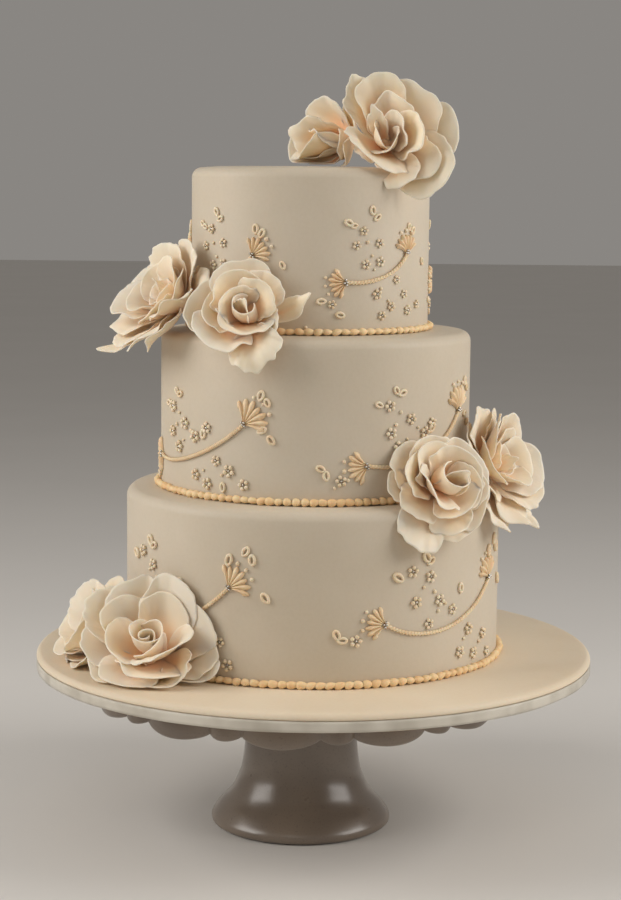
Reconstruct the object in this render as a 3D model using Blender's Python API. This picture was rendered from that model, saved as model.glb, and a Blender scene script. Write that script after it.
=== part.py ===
"""A three-tier wedding cake with sugar roses and piped sprays, on its covered board and glazed pedestal stand.

Lengths are metres. The stand's foot rests on z = 0, the board is centred on the Z axis, +X is the cake's
right and -Y its front. Angles round the cake are degrees from the front, positive towards the right.
"""

import math

import bmesh
import bpy
from mathutils import Vector

MM = 0.001
GAP = 0.3 * MM  # clearance between two pieces that rest on each other
AROUND = 56  # facets round a turned piece

# Pedestal stand, one piece of glazed porcelain with a turned-down skirt of lobes
STAND_X = -9 * MM
STAND_HEIGHT = 128.3 * MM
FOOT_FACETS = 28
# radius and height up the foot, from its resting edge to where it meets the plate
FOOT_PROFILE = ((65, 0), (70.7, 3.5), (69.8, 8), (64.4, 15), (57, 23), (52, 31.4), (46.6, 46), (44.3, 72),
                (47, 98), (62, 122))
PLATE_RADIUS = 157 * MM
PLATE_THICKNESS = 7 * MM
SKIRT_WALL = 5 * MM
SKIRT_BULGE = 7 * MM
CUSP_DROP = 20.5 * MM
BIG_LOBE_DROP = 27.5 * MM
SMALL_LOBE_DROP = 24 * MM
LOBE_PAIRS = 12
BIG_LOBE_SHARE = 0.7
FIRST_LOBE_ANGLE = -5.2

# Covered board with a satin ribbon round its edge
BOARD_RADIUS = 216.7 * MM
BOARD_THICKNESS = 13.4 * MM
BOARD_ROUNDING = 4.2 * MM
RIBBON_WIDTH = 8 * MM
RIBBON_THICKNESS = 0.6 * MM

# Tiers from the bottom up: name, radius, height and sideways offset, as stacked by hand
TIERS = (("bottom", 145 * MM, 128.5 * MM, -1.5 * MM), ("middle", 119.5 * MM, 121.3 * MM, -0.5 * MM),
         ("top", 91.1 * MM, 122.4 * MM, -5.5 * MM))
TIER_ROUNDING = 7.5 * MM
ROUNDING_STEPS = 2
SHOULDER_WIDTH = 14 * MM
SHOULDER_FALL = 1 * MM

# Pearl border piped where each tier meets what is under it
BORDER_REACH = 6.2 * MM
BORDER_HEIGHT = 6 * MM

# Piped sprays: a vine that sags between two fans, raised from the tier's wall
SPRAY_OFF_WALL = 0.6 * MM
SPRAY_THICKNESS = 2 * MM
VINE_WIDTH = 2.6 * MM
VINE_STEPS = 6
FAN_SPREAD = 110
FAN_POINTS = 7  # four rib tips with a notch between each two
# tier: fan radius, the two middle handles of the vine's curve as shares of its run, and in mm upwards
SPRAY_SHAPES = {"bottom": (16 * MM, 0.22, -16, 0.67, -12), "middle": (16 * MM, 0.25, -6, 0.7, 4),
                "top": (13 * MM, 0.33, -2, 0.77, 4)}
# tier: left fan's angle, its height above the tier's foot, run and rise to the right fan in mm,
# then the headings that the left and right fans open towards
SPRAYS = {"bottom": ((21.6, 45, 111, 21, 168, 105), (111, 44, 108, 22, 180, 60), (202, 46, 112, 20, 172, 80),
                     (292.5, 45, 108, 25, 178, 45)),
          "middle": ((18.8, 29, 92, 34, 192, 90), (107, 28, 96, 33, 185, 60), (196, 28, 94, 33, 190, 75),
                     (286.1, 26, 100, 31, 186, 45)),
          "top": ((17.3, 38.7, 54, 20, 190, 92), (92, 38, 55, 19, 186, 70), (163, 38, 54, 20, 190, 85),
                  (232, 38, 55, 20, 184, 65), (299, 37.5, 53, 19, 188, 48))}

# Sugar roses: the calyx's place, the way the flower faces, radius and depth in mm, turn of its petals in
# degrees, and how far each of the five outer petals reaches
ROSES = {
    "rose_top_right": ((50, -44, 531), (-0.15, -0.9, 0.3), 48, 42, 20, (1.0, 1.0, 1.05, 0.95, 1.0)),
    "rose_top_left": ((27, -25, 533), (-0.9, -0.33, 0.2), 28, 50, 50, (1.0, 1.05, 1.0, 0.9, 1.0)),
    "rose_middle_front": ((-52, -92, 401), (-0.12, -0.86, 0.48), 43, 38, 10, (1.2, 1.0, 0.95, 1.0, 1.1)),
    "rose_middle_left": ((-102, -39, 409), (-0.74, -0.3, 0.6), 44, 42, 30, (0.95, 1.0, 1.05, 1.3, 0.9)),
    "rose_lower_front": ((88, -101, 279), (0.36, -0.85, 0.4), 41, 36, 5, (0.9, 1.05, 1.0, 1.15, 1.0)),
    "rose_lower_right": ((126, -40, 288), (0.86, -0.33, 0.38), 43, 44, 40, (1.0, 0.95, 1.0, 1.05, 1.2)),
    "rose_board_front": ((-117, -113, 156), (-0.16, -0.7, 0.68), 53, 44, 25, (1.05, 1.0, 1.0, 1.0, 1.05)),
    "rose_board_side": ((-152, -66, 160), (-0.8, -0.22, 0.5), 42, 38, 60, (1.0, 1.0, 0.95, 1.0, 1.0)),
}
PETALS = 5
PETAL_FACETS = 4
PETAL_NOTCH = 0.26  # how far the notches between petals cut in, as a share of the reach
PETAL_DROOP = 0.1  # how far the notches sink, as a share of the depth
# Rings of a rose from its calyx out to the rim and in to the bud: shares of its radius and depth, then how
# much of the petal outline the ring carries, and its turn in petals
ROSE_RINGS = ((0.14, 0, 0, 0), (0.62, 0.34, 0.4, 0), (1.0, 0.56, 1, 0), (0.72, 0.5, 0.3, 0),
              (0.74, 0.8, 1, 0.5), (0.46, 0.68, 0.3, 0.5), (0.48, 0.96, 1, 0.9), (0.24, 0.8, 0.2, 0.9),
              (0.18, 1.04, 0.6, 1.2))
BUD_TIP = 1.1
ROSE_PAIRS = (("rose_top_right", "rose_top_left"), ("rose_middle_front", "rose_middle_left"),
              ("rose_lower_front", "rose_lower_right"), ("rose_board_front", "rose_board_side"))
HEART_SHARE = 0.7  # where between calyx and bud a pair of roses is parted
PARTING_SIZE = 300 * MM

# Colour, roughness and metallic value of each kind of piece
FONDANT = ((0.72, 0.62, 0.49, 1), 0.45, 0)
ROYAL_ICING = ((0.8, 0.56, 0.33, 1), 0.4, 0)
SUGAR_PETAL = ((0.82, 0.7, 0.56, 1), 0.5, 0)
SATIN = ((0.75, 0.71, 0.65, 1), 0.3, 0)
PORCELAIN = ((0.5, 0.44, 0.37, 1), 0.12, 0)


def clear_scene():
    for thing in list(bpy.data.objects):
        bpy.data.objects.remove(thing)


def new_material(name, finish):
    colour, roughness, metallic = finish
    material = bpy.data.materials.new(name)
    material.use_nodes = True
    shader = material.node_tree.nodes["Principled BSDF"]
    shader.inputs["Base Color"].default_value = colour
    shader.inputs["Roughness"].default_value = roughness
    shader.inputs["Metallic"].default_value = metallic
    return material


def add_object(name, bm, finish, sharp_angle=50):
    """An object from a finished bmesh, its faces turned outwards and shaded smooth up to the given angle."""
    bmesh.ops.recalc_face_normals(bm, faces=bm.faces)
    mesh = bpy.data.meshes.new(name)
    bm.to_mesh(mesh)
    bm.free()
    mesh.shade_smooth()
    mesh.set_sharp_from_angle(angle=math.radians(sharp_angle))
    thing = bpy.data.objects.new(name, mesh)
    thing.data.materials.append(new_material(name, finish))
    bpy.context.scene.collection.objects.link(thing)
    return thing


def as_cutter(thing):
    """Keeps a helper out of the model: it only shapes other pieces."""
    thing.hide_render = True
    thing.display_type = "WIRE"
    return thing


def combine(thing, operation, other):
    """Adds a Boolean modifier: DIFFERENCE, UNION or INTERSECT with another object."""
    boolean = thing.modifiers.new(operation.lower() + " " + other.name, "BOOLEAN")
    boolean.operation = operation
    boolean.object = other


def skin_rings(bm, rings, closed_loop=False):
    """Faces between rings of equally many points, capped at both ends unless the rings make a closed loop."""
    loops = [[bm.verts.new(point) for point in ring] for ring in rings]
    following = loops[1:] + loops[:1] if closed_loop else loops[1:]
    for lower, upper in zip(loops, following):
        for i in range(len(lower)):
            j = (i + 1) % len(lower)
            bm.faces.new((lower[i], lower[j], upper[j], upper[i]))
    if not closed_loop:
        bm.faces.new(loops[0][::-1])
        bm.faces.new(loops[-1])


def turned(profile, closed_loop=False, facets=AROUND):
    """A bmesh turned round Z from a profile of radius and height pairs."""
    rings = []
    for radius, height in profile:
        turns = (math.tau * i / facets for i in range(facets))
        rings.append([Vector((radius * math.sin(a), -radius * math.cos(a), height)) for a in turns])
    bm = bmesh.new()
    skin_rings(bm, rings, closed_loop)
    return bm


def rounded_corner(radius, height, rounding, steps):
    """Profile points of a quarter round, from the upright wall over to the top."""
    points = []
    for i in range(steps + 1):
        turn = math.pi / 2 * i / steps
        points.append((radius - rounding * (1 - math.cos(turn)), height - rounding * (1 - math.sin(turn))))
    return points


def tier_floors():
    """Height of the underside of each tier, and last the top of the cake."""
    floors = [STAND_HEIGHT + GAP + BOARD_THICKNESS + GAP]
    for _, _, height, _ in TIERS:
        floors.append(floors[-1] + height + GAP)
    return floors


def lobe_at(angle):
    """Share of the way across a lobe, and that lobe's drop, at an angle round the plate."""
    turn = (angle - FIRST_LOBE_ANGLE) / 360 * LOBE_PAIRS + BIG_LOBE_SHARE / 2
    share = turn % 1
    if share < BIG_LOBE_SHARE:
        return share / BIG_LOBE_SHARE, BIG_LOBE_DROP
    return (share - BIG_LOBE_SHARE) / (1 - BIG_LOBE_SHARE), SMALL_LOBE_DROP


def lobe_angles():
    """Angles of the skirt's points: four steps across each big lobe and two across each small one."""
    shares = [BIG_LOBE_SHARE * i / 4 for i in range(4)]
    shares += [BIG_LOBE_SHARE, (1 + BIG_LOBE_SHARE) / 2]
    turns = [pair + share - BIG_LOBE_SHARE / 2 for pair in range(LOBE_PAIRS) for share in shares]
    return [FIRST_LOBE_ANGLE + 360 * turn / LOBE_PAIRS for turn in turns]


def skirt_ring(inset, bulge_share, drop_share, lift):
    """One ring of the skirt: how far in from the wall, how much of the lobes' bulge and drop it carries."""
    ring = []
    for angle in lobe_angles():
        across, drop = lobe_at(angle + 1e-6)
        swell = math.sin(math.pi * across) ** 0.6 if 0 < across < 1 else 0
        fall = CUSP_DROP + (drop - CUSP_DROP) * swell
        radius = PLATE_RADIUS + SKIRT_BULGE * swell * bulge_share - inset
        turn = math.radians(angle)
        height = STAND_HEIGHT + lift - fall * drop_share
        ring.append(Vector((radius * math.sin(turn), -radius * math.cos(turn), height)))
    return ring


def make_stand():
    """The lobed plate and the flared foot, joined into one piece."""
    underside = -PLATE_THICKNESS
    rings = [
        skirt_ring(SKIRT_WALL + 3 * MM, 0, 0, underside),
        skirt_ring(SKIRT_WALL, 0.9, 1, 0.6 * MM),
        skirt_ring(0.6 * MM, 1, 1, 0),
        skirt_ring(-1 * MM, 0.9, 0.55, 0),
        skirt_ring(0, 0, 0, 0),
    ]
    bm = bmesh.new()
    skin_rings(bm, rings)
    stand = add_object("stand", bm, PORCELAIN)
    stand.location.x = STAND_X
    foot_profile = [(radius * MM, height * MM) for radius, height in FOOT_PROFILE]
    foot = as_cutter(add_object("foot_shape", turned(foot_profile, facets=FOOT_FACETS), PORCELAIN))
    foot.location.x = STAND_X
    combine(stand, "UNION", foot)


def make_board():
    """The covered disc, stepped in round its lower edge to seat the ribbon."""
    floor = STAND_HEIGHT + GAP
    top = floor + BOARD_THICKNESS
    seat = BOARD_RADIUS - RIBBON_THICKNESS - GAP
    step = floor + RIBBON_WIDTH + GAP
    profile = [(seat, floor), (seat, step), (BOARD_RADIUS, step + GAP)]
    profile += rounded_corner(BOARD_RADIUS, top, BOARD_ROUNDING, ROUNDING_STEPS)
    add_object("board", turned(profile), FONDANT)
    inner = BOARD_RADIUS - RIBBON_THICKNESS
    top_edge = floor + RIBBON_WIDTH
    band = [(inner, floor), (BOARD_RADIUS, floor), (BOARD_RADIUS, top_edge), (inner, top_edge)]
    add_object("board_ribbon", turned(band, closed_loop=True), SATIN)


def make_tier(name, radius, height, offset, floor):
    """A tier with a rounded upper edge and a shoulder that falls away slightly."""
    top = floor + height
    profile = [(radius, floor)] + rounded_corner(radius, top - SHOULDER_FALL, TIER_ROUNDING, ROUNDING_STEPS)
    profile.append((radius - TIER_ROUNDING - SHOULDER_WIDTH, top))
    tier = add_object("tier_" + name, turned(profile), FONDANT)
    tier.location.x = offset
    return tier


def make_border(name, radius, offset, floor):
    """The outer form of the row of piped pearls round a tier's foot."""
    wall = radius + GAP
    widest = floor + BORDER_HEIGHT * 0.45
    profile = [(wall, floor), (wall + BORDER_REACH, widest), (wall, floor + BORDER_HEIGHT)]
    border = add_object("pearl_border_" + name, turned(profile, closed_loop=True), ROYAL_ICING)
    border.location.x = offset
    return border


def make_clearance(name, radius, height, offset, floor):
    """The space that a tier, its border and its sprays take, which the roses keep out of."""
    wall = radius + SPRAY_OFF_WALL + SPRAY_THICKNESS + GAP
    foot = radius + BORDER_REACH + 2 * GAP
    foot_top = floor + BORDER_HEIGHT + GAP
    profile = [(foot, floor - GAP), (foot, foot_top), (wall, foot_top)]
    profile += rounded_corner(wall, floor + height + GAP, TIER_ROUNDING, ROUNDING_STEPS)
    cutter = as_cutter(add_object("clearance_" + name, turned(profile), FONDANT))
    cutter.location.x = offset
    return cutter


def fan_outline(centre, heading, radius):
    """The scalloped edge of a fan flower, rib tips and notches in turn, in the unrolled wall's plane."""
    points = []
    for i in range(FAN_POINTS):
        turn = math.radians(heading + FAN_SPREAD * (i / (FAN_POINTS - 1) - 0.5))
        reach = radius if i % 2 == 0 else radius * 0.86
        points.append(centre + Vector((math.cos(turn), math.sin(turn))) * reach)
    return points


def vine_path(run, rise, handles):
    """Points along the vine's curve from the left fan to the right one, in the unrolled wall's plane."""
    first_share, first_lift, second_share, second_lift = handles
    corners = (Vector((0, 0)), Vector((run * first_share, first_lift * MM)),
               Vector((run * second_share, second_lift * MM)), Vector((run, rise)))
    points = []
    for i in range(VINE_STEPS + 1):
        t = i / VINE_STEPS
        weights = ((1 - t) ** 3, 3 * t * (1 - t) ** 2, 3 * t * t * (1 - t), t ** 3)
        points.append(sum((w * corner for w, corner in zip(weights, corners)), Vector((0, 0))))
    return points


def spray_shape(run, rise, headings, fan_radius, handles):
    """Outline points of a spray and the faces that fill it: quads along the vine, triangles over each fan."""
    path = vine_path(run, rise, handles)
    lower, upper = [], []
    for i, point in enumerate(path):
        along = (path[min(i + 1, VINE_STEPS)] - path[max(i - 1, 0)]).normalized()
        across = Vector((-along.y, along.x)) * VINE_WIDTH / 2
        lower.append(point - across)
        upper.append(point + across)
    left_fan = fan_outline(path[0], headings[0], fan_radius)
    right_fan = fan_outline(path[-1], headings[1], fan_radius)
    points = lower + right_fan + upper[::-1] + left_fan
    last_upper = 2 * VINE_STEPS + 1 + FAN_POINTS
    faces = [(i, i + 1, last_upper - i - 1, last_upper - i) for i in range(VINE_STEPS)]
    faces += fan_faces(VINE_STEPS, len(points))
    faces += fan_faces(last_upper, len(points))
    return points, faces


def fan_faces(first, count):
    """Triangles over a fan. Its edge starts after point first, and its throat lies between first and past."""
    past = (first + FAN_POINTS + 1) % count
    middle = FAN_POINTS // 2 + 1
    faces = [(first, first + middle, past)]
    for i in range(1, FAN_POINTS):
        faces.append((first if i < middle else past, first + i, first + i + 1))
    return faces


def make_spray(name, shape, radius, offset, angle, height):
    """Wraps a spray's outline round a tier's wall and gives it its thickness."""
    points, faces = shape
    bm = bmesh.new()
    inner_wall = radius + SPRAY_OFF_WALL

    def on_wall(point, reach):
        turn = math.radians(angle) + point.x / radius
        return Vector((reach * math.sin(turn), -reach * math.cos(turn), height + point.y))

    inner = [bm.verts.new(on_wall(point, inner_wall)) for point in points]
    outer = [bm.verts.new(on_wall(point, inner_wall + SPRAY_THICKNESS)) for point in points]
    for corners in faces:
        bm.faces.new([outer[i] for i in corners])
        bm.faces.new([inner[i] for i in reversed(corners)])
    for i in range(len(points)):
        j = (i + 1) % len(points)
        bm.faces.new((inner[i], inner[j], outer[j], outer[i]))
    spray = add_object(name, bm, ROYAL_ICING)
    spray.location.x = offset
    return spray


def make_sprays(tier, radius, offset, floor):
    fan_radius, *handles = SPRAY_SHAPES[tier]
    for number, (angle, lift, run, rise, *headings) in enumerate(SPRAYS[tier], 1):
        shape = spray_shape(run * MM, rise * MM, headings, fan_radius, handles)
        make_spray(f"spray_{tier}_{number}", shape, radius, offset, angle, floor + lift * MM)


def petal_edge(turn):
    """Reach of a five-petalled outline, 1 at each petal's middle and least in the notches between."""
    return 1 - PETAL_NOTCH * (1 - abs(math.cos(math.pi * turn))) ** 1.5


def petal_reach(reaches, turn):
    """Reach of the outer petals at a turn counted in petals, shared evenly in the notch between two."""
    before = reaches[math.floor(turn) % PETALS]
    after = reaches[math.ceil(turn) % PETALS]
    share = turn - math.floor(turn)
    if share == 0.5:
        return (before + after) / 2
    return before if share < 0.5 else after


def make_rose(name, calyx, facing, radius, depth, twist, reaches):
    """A half-open rose: a pointed back, then three rings of petals that step up to the bud."""
    count = PETALS * PETAL_FACETS
    rings = []
    for radius_share, depth_share, outline_share, petal_turn in ROSE_RINGS:
        ring = []
        for i in range(count):
            turn = i / PETAL_FACETS
            edge = petal_edge(turn)
            reach = petal_reach(reaches, turn) if radius_share == 1 else 1
            spread = radius * MM * radius_share * (1 + (edge * reach - 1) * outline_share)
            angle = math.radians(twist) + math.tau * (turn + petal_turn) / PETALS
            lift = depth * MM * (depth_share - PETAL_DROOP * (1 - edge) * outline_share)
            ring.append(Vector((spread * math.cos(angle), spread * math.sin(angle), lift)))
        rings.append(ring)
    bm = bmesh.new()
    skin_rings(bm, rings)
    bm.faces.ensure_lookup_table()
    bud_top = bmesh.ops.poke(bm, faces=[bm.faces[-1]])["verts"][0]
    bud_top.co = Vector((0, 0, depth * MM * BUD_TIP))
    rose = add_object(name, bm, SUGAR_PETAL, sharp_angle=35)
    rose.location = Vector(calyx) * MM
    rose.rotation_euler = Vector(facing).to_track_quat("Z", "Y").to_euler()
    return rose


def heart_of(name):
    """The middle of a rose, part of the way from its calyx to its bud."""
    calyx, facing, _, depth, _, _ = ROSES[name]
    return (Vector(calyx) + Vector(facing).normalized() * depth * HEART_SHARE) * MM


def make_parting(kept, cleared):
    """A block that fills the space beyond the midway plane between two roses, on the side to be cleared."""
    normal = (heart_of(cleared) - heart_of(kept)).normalized()
    middle = (heart_of(kept) + heart_of(cleared)) / 2
    bm = bmesh.new()
    bmesh.ops.create_cube(bm, size=PARTING_SIZE)
    block = as_cutter(add_object(f"beyond_{kept}", bm, SUGAR_PETAL))
    block.rotation_euler = normal.to_track_quat("Z", "Y").to_euler()
    block.location = middle + normal * (PARTING_SIZE - GAP) / 2
    return block


def make_roses(clearances):
    roses = {name: make_rose(name, *shape) for name, shape in ROSES.items()}
    for rose in roses.values():
        for cutter in clearances:
            combine(rose, "DIFFERENCE", cutter)
    for first, second in ROSE_PAIRS:
        combine(roses[first], "DIFFERENCE", make_parting(first, second))
        combine(roses[second], "DIFFERENCE", make_parting(second, first))


def main():
    clear_scene()
    make_stand()
    make_board()
    floors = tier_floors()
    board_room = [(BOARD_RADIUS, STAND_HEIGHT), (BOARD_RADIUS, floors[0])]
    clearances = [as_cutter(add_object("clearance_board", turned(board_room), FONDANT))]
    for (name, radius, height, offset), floor in zip(TIERS, floors):
        make_tier(name, radius, height, offset, floor)
        make_border(name, radius, offset, floor + GAP)
        make_sprays(name, radius, offset, floor)
        clearances.append(make_clearance(name, radius, height, offset, floor))
    make_roses(clearances)


main()
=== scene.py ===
# %% [markdown]
# # A tiered wedding cake
#
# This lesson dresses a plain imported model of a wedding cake: three tiers covered in rolled icing, piped pearls and
# sprays, eight sugar roses, a covered board with its ribbon, and a glazed stand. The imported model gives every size
# and place. Each step says what the real piece is and how it could be made, then makes it.

# %% Load the plain model
import math

import bpy
import numpy as np
from mathutils import Matrix, Vector
from mathutils.bvhtree import BVHTree


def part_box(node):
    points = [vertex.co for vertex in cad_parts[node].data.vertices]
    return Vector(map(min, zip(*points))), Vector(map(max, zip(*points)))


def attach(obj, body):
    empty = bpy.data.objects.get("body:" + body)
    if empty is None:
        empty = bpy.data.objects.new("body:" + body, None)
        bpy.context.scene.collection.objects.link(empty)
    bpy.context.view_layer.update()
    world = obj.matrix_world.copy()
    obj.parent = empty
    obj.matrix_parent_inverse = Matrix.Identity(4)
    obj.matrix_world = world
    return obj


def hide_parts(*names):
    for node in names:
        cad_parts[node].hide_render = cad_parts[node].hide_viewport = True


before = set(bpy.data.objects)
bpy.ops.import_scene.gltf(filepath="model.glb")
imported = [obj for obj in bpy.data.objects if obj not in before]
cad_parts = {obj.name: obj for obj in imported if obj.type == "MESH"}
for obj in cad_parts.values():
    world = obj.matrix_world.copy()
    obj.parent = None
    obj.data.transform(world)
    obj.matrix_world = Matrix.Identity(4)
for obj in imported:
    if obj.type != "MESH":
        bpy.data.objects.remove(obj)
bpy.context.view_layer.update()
MM = 0.001

# %% [markdown]
# ## The camera
#
# The cake is seen from a little above, from the front, with a long lens, so its uprights stay nearly parallel. The
# camera comes first: every later choice of detail depends on how large a piece is in the picture. It could track an
# empty, but a fixed place and tilt are easier to read. It leans half a degree, as a camera in the hand does.

# %% Place the camera
CAMERA_PLACE = Vector((-0.0038, -1.5833, 0.5004))
CAMERA_LOOKS_DOWN = 7.336
CAMERA_LEANS = 0.547
CAMERA_LENS = 81.88


def make_camera():
    """The camera in front of the cake, looking slightly down."""
    data = bpy.data.cameras.new("camera")
    data.lens = CAMERA_LENS
    data.sensor_width = 36
    camera = bpy.data.objects.new("camera", data)
    bpy.context.scene.collection.objects.link(camera)
    tilt = Matrix.Rotation(math.radians(90 - CAMERA_LOOKS_DOWN), 4, "X")
    camera.matrix_world = Matrix.Translation(CAMERA_PLACE) @ tilt @ Matrix.Rotation(math.radians(CAMERA_LEANS), 4, "Z")
    bpy.context.scene.camera = camera
    return camera


camera = make_camera()
print("camera", [round(v, 3) for v in camera.location])

# %% [markdown]
# ## Writing nodes as sums
#
# Blender's materials and Geometry Nodes are graphs of nodes. Wiring them by hand takes many lines, and the sum that
# they stand for is hard to see. One small class wraps a node's output so that + - * / make the Math nodes, and one
# method adds any other node: its settings go in first, because they decide which sockets it has.

# %% A value in a node tree, and the tree that adds its nodes
class Value:
    """An output of a node, which can stand in a sum."""

    def __init__(self, nodes, socket):
        self.nodes, self.socket = nodes, socket

    def maths(self, operation, *terms):
        return self.nodes.add("ShaderNodeMath", {"operation": operation}, dict(enumerate(terms)))

    def __add__(self, other):
        return self.maths("ADD", self, other)

    def __sub__(self, other):
        return self.maths("SUBTRACT", self, other)

    def __rsub__(self, other):
        return self.maths("SUBTRACT", other, self)

    def __mul__(self, other):
        return self.maths("MULTIPLY", self, other)

    def __truediv__(self, other):
        return self.maths("DIVIDE", self, other)

    def __rtruediv__(self, other):
        return self.maths("DIVIDE", other, self)

    def __pow__(self, other):
        return self.maths("POWER", self, other)

    __radd__, __rmul__ = __add__, __mul__

    def ramp(self, start, end):
        """0 below start, 1 above end, and a smooth rise between them."""
        settings = {"interpolation_type": "SMOOTHSTEP"}
        return self.nodes.add("ShaderNodeMapRange", settings, {"Value": self, "From Min": start, "From Max": end})


class Nodes:
    """A node tree that adds nodes by type, settings and inputs."""

    def __init__(self, tree):
        self.tree = tree

    def connect(self, value, socket):
        if isinstance(value, Value):
            self.tree.links.new(value.socket, socket)
        else:
            socket.default_value = value

    def add(self, kind, settings=None, inputs=None, output=0):
        node = self.tree.nodes.new(kind)
        for setting, value in (settings or {}).items():
            setattr(node, setting, value)
        for name, value in (inputs or {}).items():
            self.connect(value, node.inputs[name])
        return Value(self, node.outputs[output])


print("sums in nodes are ready")

# %% [markdown]
# ## Finishes
#
# A finish is one Principled shader. What varies over the surface feeds its colour, its roughness or its normal, and
# what is the same all over is set on the shader itself. Colours are given as they look on a screen, from 0 to 255,
# and are turned into the linear values that the shader wants.

# %% Helpers for finishes
def screen(red, green, blue):
    """A screen colour as the linear RGBA that a shader wants."""
    return tuple(((c / 255 + 0.055) / 1.055) ** 2.4 for c in (red, green, blue)) + (1,)


class Finish(Nodes):
    """A material with one Principled shader."""

    def __init__(self, name, **constants):
        self.material = bpy.data.materials.new(name)
        self.material.use_nodes = True
        super().__init__(self.material.node_tree)
        self.shader = self.tree.nodes["Principled BSDF"]
        for socket, value in constants.items():
            self.shader.inputs[socket.replace("_", " ")].default_value = value
        self.place = self.add("ShaderNodeTexCoord", output="Object")

    def noise(self, scale, detail=2, where=None, output="Fac"):
        inputs = {"Vector": where or self.place, "Scale": scale, "Detail": detail}
        return self.add("ShaderNodeTexNoise", {}, inputs, output)

    def mix(self, factor, first, second, blend="MIX"):
        settings = {"data_type": "RGBA", "blend_type": blend}
        return self.add("ShaderNodeMix", settings, {0: factor, 6: first, 7: second}, output=2)

    def attribute(self, name):
        return self.add("ShaderNodeAttribute", {"attribute_name": name}, output="Fac")

    def bump(self, height, distance, strength=1.0, under=None):
        inputs = {"Height": height, "Distance": distance, "Strength": strength}
        if under:
            inputs["Normal"] = under
        return self.add("ShaderNodeBump", {}, inputs)

    def feed(self, **sockets):
        for socket, value in sockets.items():
            self.connect(value, self.shader.inputs[socket.replace("_", " ")])
        return self.material


print("finishes can be mixed")

# %% [markdown]
# ### Rolled icing
#
# Rolled icing is sugar paste smoothed with the palm. It is nearly flat in colour, but never quite: the palm leaves
# soft hollows a few centimetres wide, and drying leaves a fine tooth like eggshell. Light goes a little way in, which
# the subsurface weight gives. Two bumps are stacked, the broad one under the fine one.

# %% Mix the rolled icing
def rolled_icing(name, light, dark):
    """Ivory sugar paste, between a lighter and a slightly darker tone."""
    finish = Finish(name, Subsurface_Weight=0.12, Subsurface_Radius=(1.0, 0.6, 0.35), Subsurface_Scale=0.004,
                    Specular_IOR_Level=0.38)
    cloudy = finish.noise(9, 3).ramp(0.3, 0.7)
    speckle = finish.noise(420, 2).ramp(0.35, 0.75)
    colour = finish.mix(cloudy * 0.75 + speckle * 0.25, screen(*light), screen(*dark))
    hollows = finish.bump(finish.noise(16, 1), 0.0012, 0.5)
    tooth = finish.bump(finish.noise(1500, 2) + finish.noise(260, 1) * 0.8, 0.00012, 0.5, hollows)
    return finish.feed(Base_Color=colour, Roughness=0.44 + finish.noise(60, 2) * 0.16, Normal=tooth)


# The tiers and the board are covered with one paste; the tiers' darker tone is painted shade on their upright walls.
tier_icing_painted_shade = rolled_icing("ivory rolled icing", (214, 202, 183), (206, 193, 172))
board_icing = rolled_icing("board icing", (234, 219, 195), (227, 209, 182))
print(tier_icing_painted_shade.name, "and", board_icing.name)

# %% [markdown]
# ### Royal icing
#
# The pearls and the sprays are piped from royal icing, which dries hard and a little shiny and stays warm apricot in
# its hollows. Each blob dries slightly differently, so the colour drifts over a few millimetres.

# %% Mix the royal icing
def royal_icing(name, light, dark):
    """Piped icing between two tones that drift from blob to blob."""
    finish = Finish(name, Subsurface_Weight=0.2, Subsurface_Radius=(1.0, 0.5, 0.25), Subsurface_Scale=0.002,
                    Specular_IOR_Level=0.45)
    drift = finish.noise(70, 2).ramp(0.34, 0.66)
    grain = finish.bump(finish.noise(900, 3), 0.0002, 0.45)
    colour = finish.mix(drift, screen(*light), screen(*dark))
    return finish.feed(Base_Color=colour, Roughness=0.4 + finish.noise(300, 2) * 0.2, Normal=grain)


pearl_icing = royal_icing("apricot royal icing", (249, 219, 172), (241, 202, 150))
spray_icing = royal_icing("peach cream royal icing", (243, 220, 184), (233, 203, 163))
dot_icing = royal_icing("cream royal icing", (244, 228, 200), (236, 214, 180))
print("three tints of royal icing")

# %% [markdown]
# ### Sugar petals
#
# A sugar petal is rolled so thin that light comes through its rim. It is ivory outside and dusted with blush at its
# base, and faint veins run from the base to the rim. Each petal carries two values in its mesh: how far along it a
# point lies, and a tone of its own. Both come from the petal, so the dusting follows each petal however it bends.

# %% Dust the petals
def petal_finish():
    """Ivory paste, blush at the base, a paler rim colour painted as the highlight of light through the thin rim, with
    faint veins.
    """
    finish = Finish("dusted sugar petal", Subsurface_Weight=0.6, Subsurface_Radius=(1.0, 0.8, 0.6),
                    Subsurface_Scale=0.0025, Specular_IOR_Level=0.25)
    reach, tone, across = (finish.attribute(name) for name in ("reach", "tone", "across"))
    ivory = finish.mix(tone, screen(252, 234, 213), screen(250, 228, 202))
    blush = finish.mix(tone, screen(254, 211, 180), screen(251, 206, 164))
    drift = (finish.noise(45, 2) - 0.5) * 0.3
    dusting = 1 - (reach + drift).ramp(0.22, 0.78)
    colour = finish.mix(dusting, ivory, blush)
    # The paler colour towards the rim is a painted highlight, for light coming through the thin rim.
    rim = finish.mix((reach + drift * 0.2).ramp(0.88, 1.0) * 0.35, colour, screen(246, 238, 222))
    veins = finish.add("ShaderNodeCombineXYZ", {}, {"X": across * 6, "Y": reach * 0.8, "Z": tone * 7})
    vein = finish.noise(2.2, 2, veins)
    ribs = finish.bump(vein, 0.0005, 0.12)
    skin = finish.bump(finish.noise(500, 2), 0.00015, 0.4, ribs)
    return finish.feed(Base_Color=rim, Roughness=0.5 + finish.noise(120, 2) * 0.14, Normal=skin)


petal_paste = petal_finish()
print(petal_paste.name)
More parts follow.
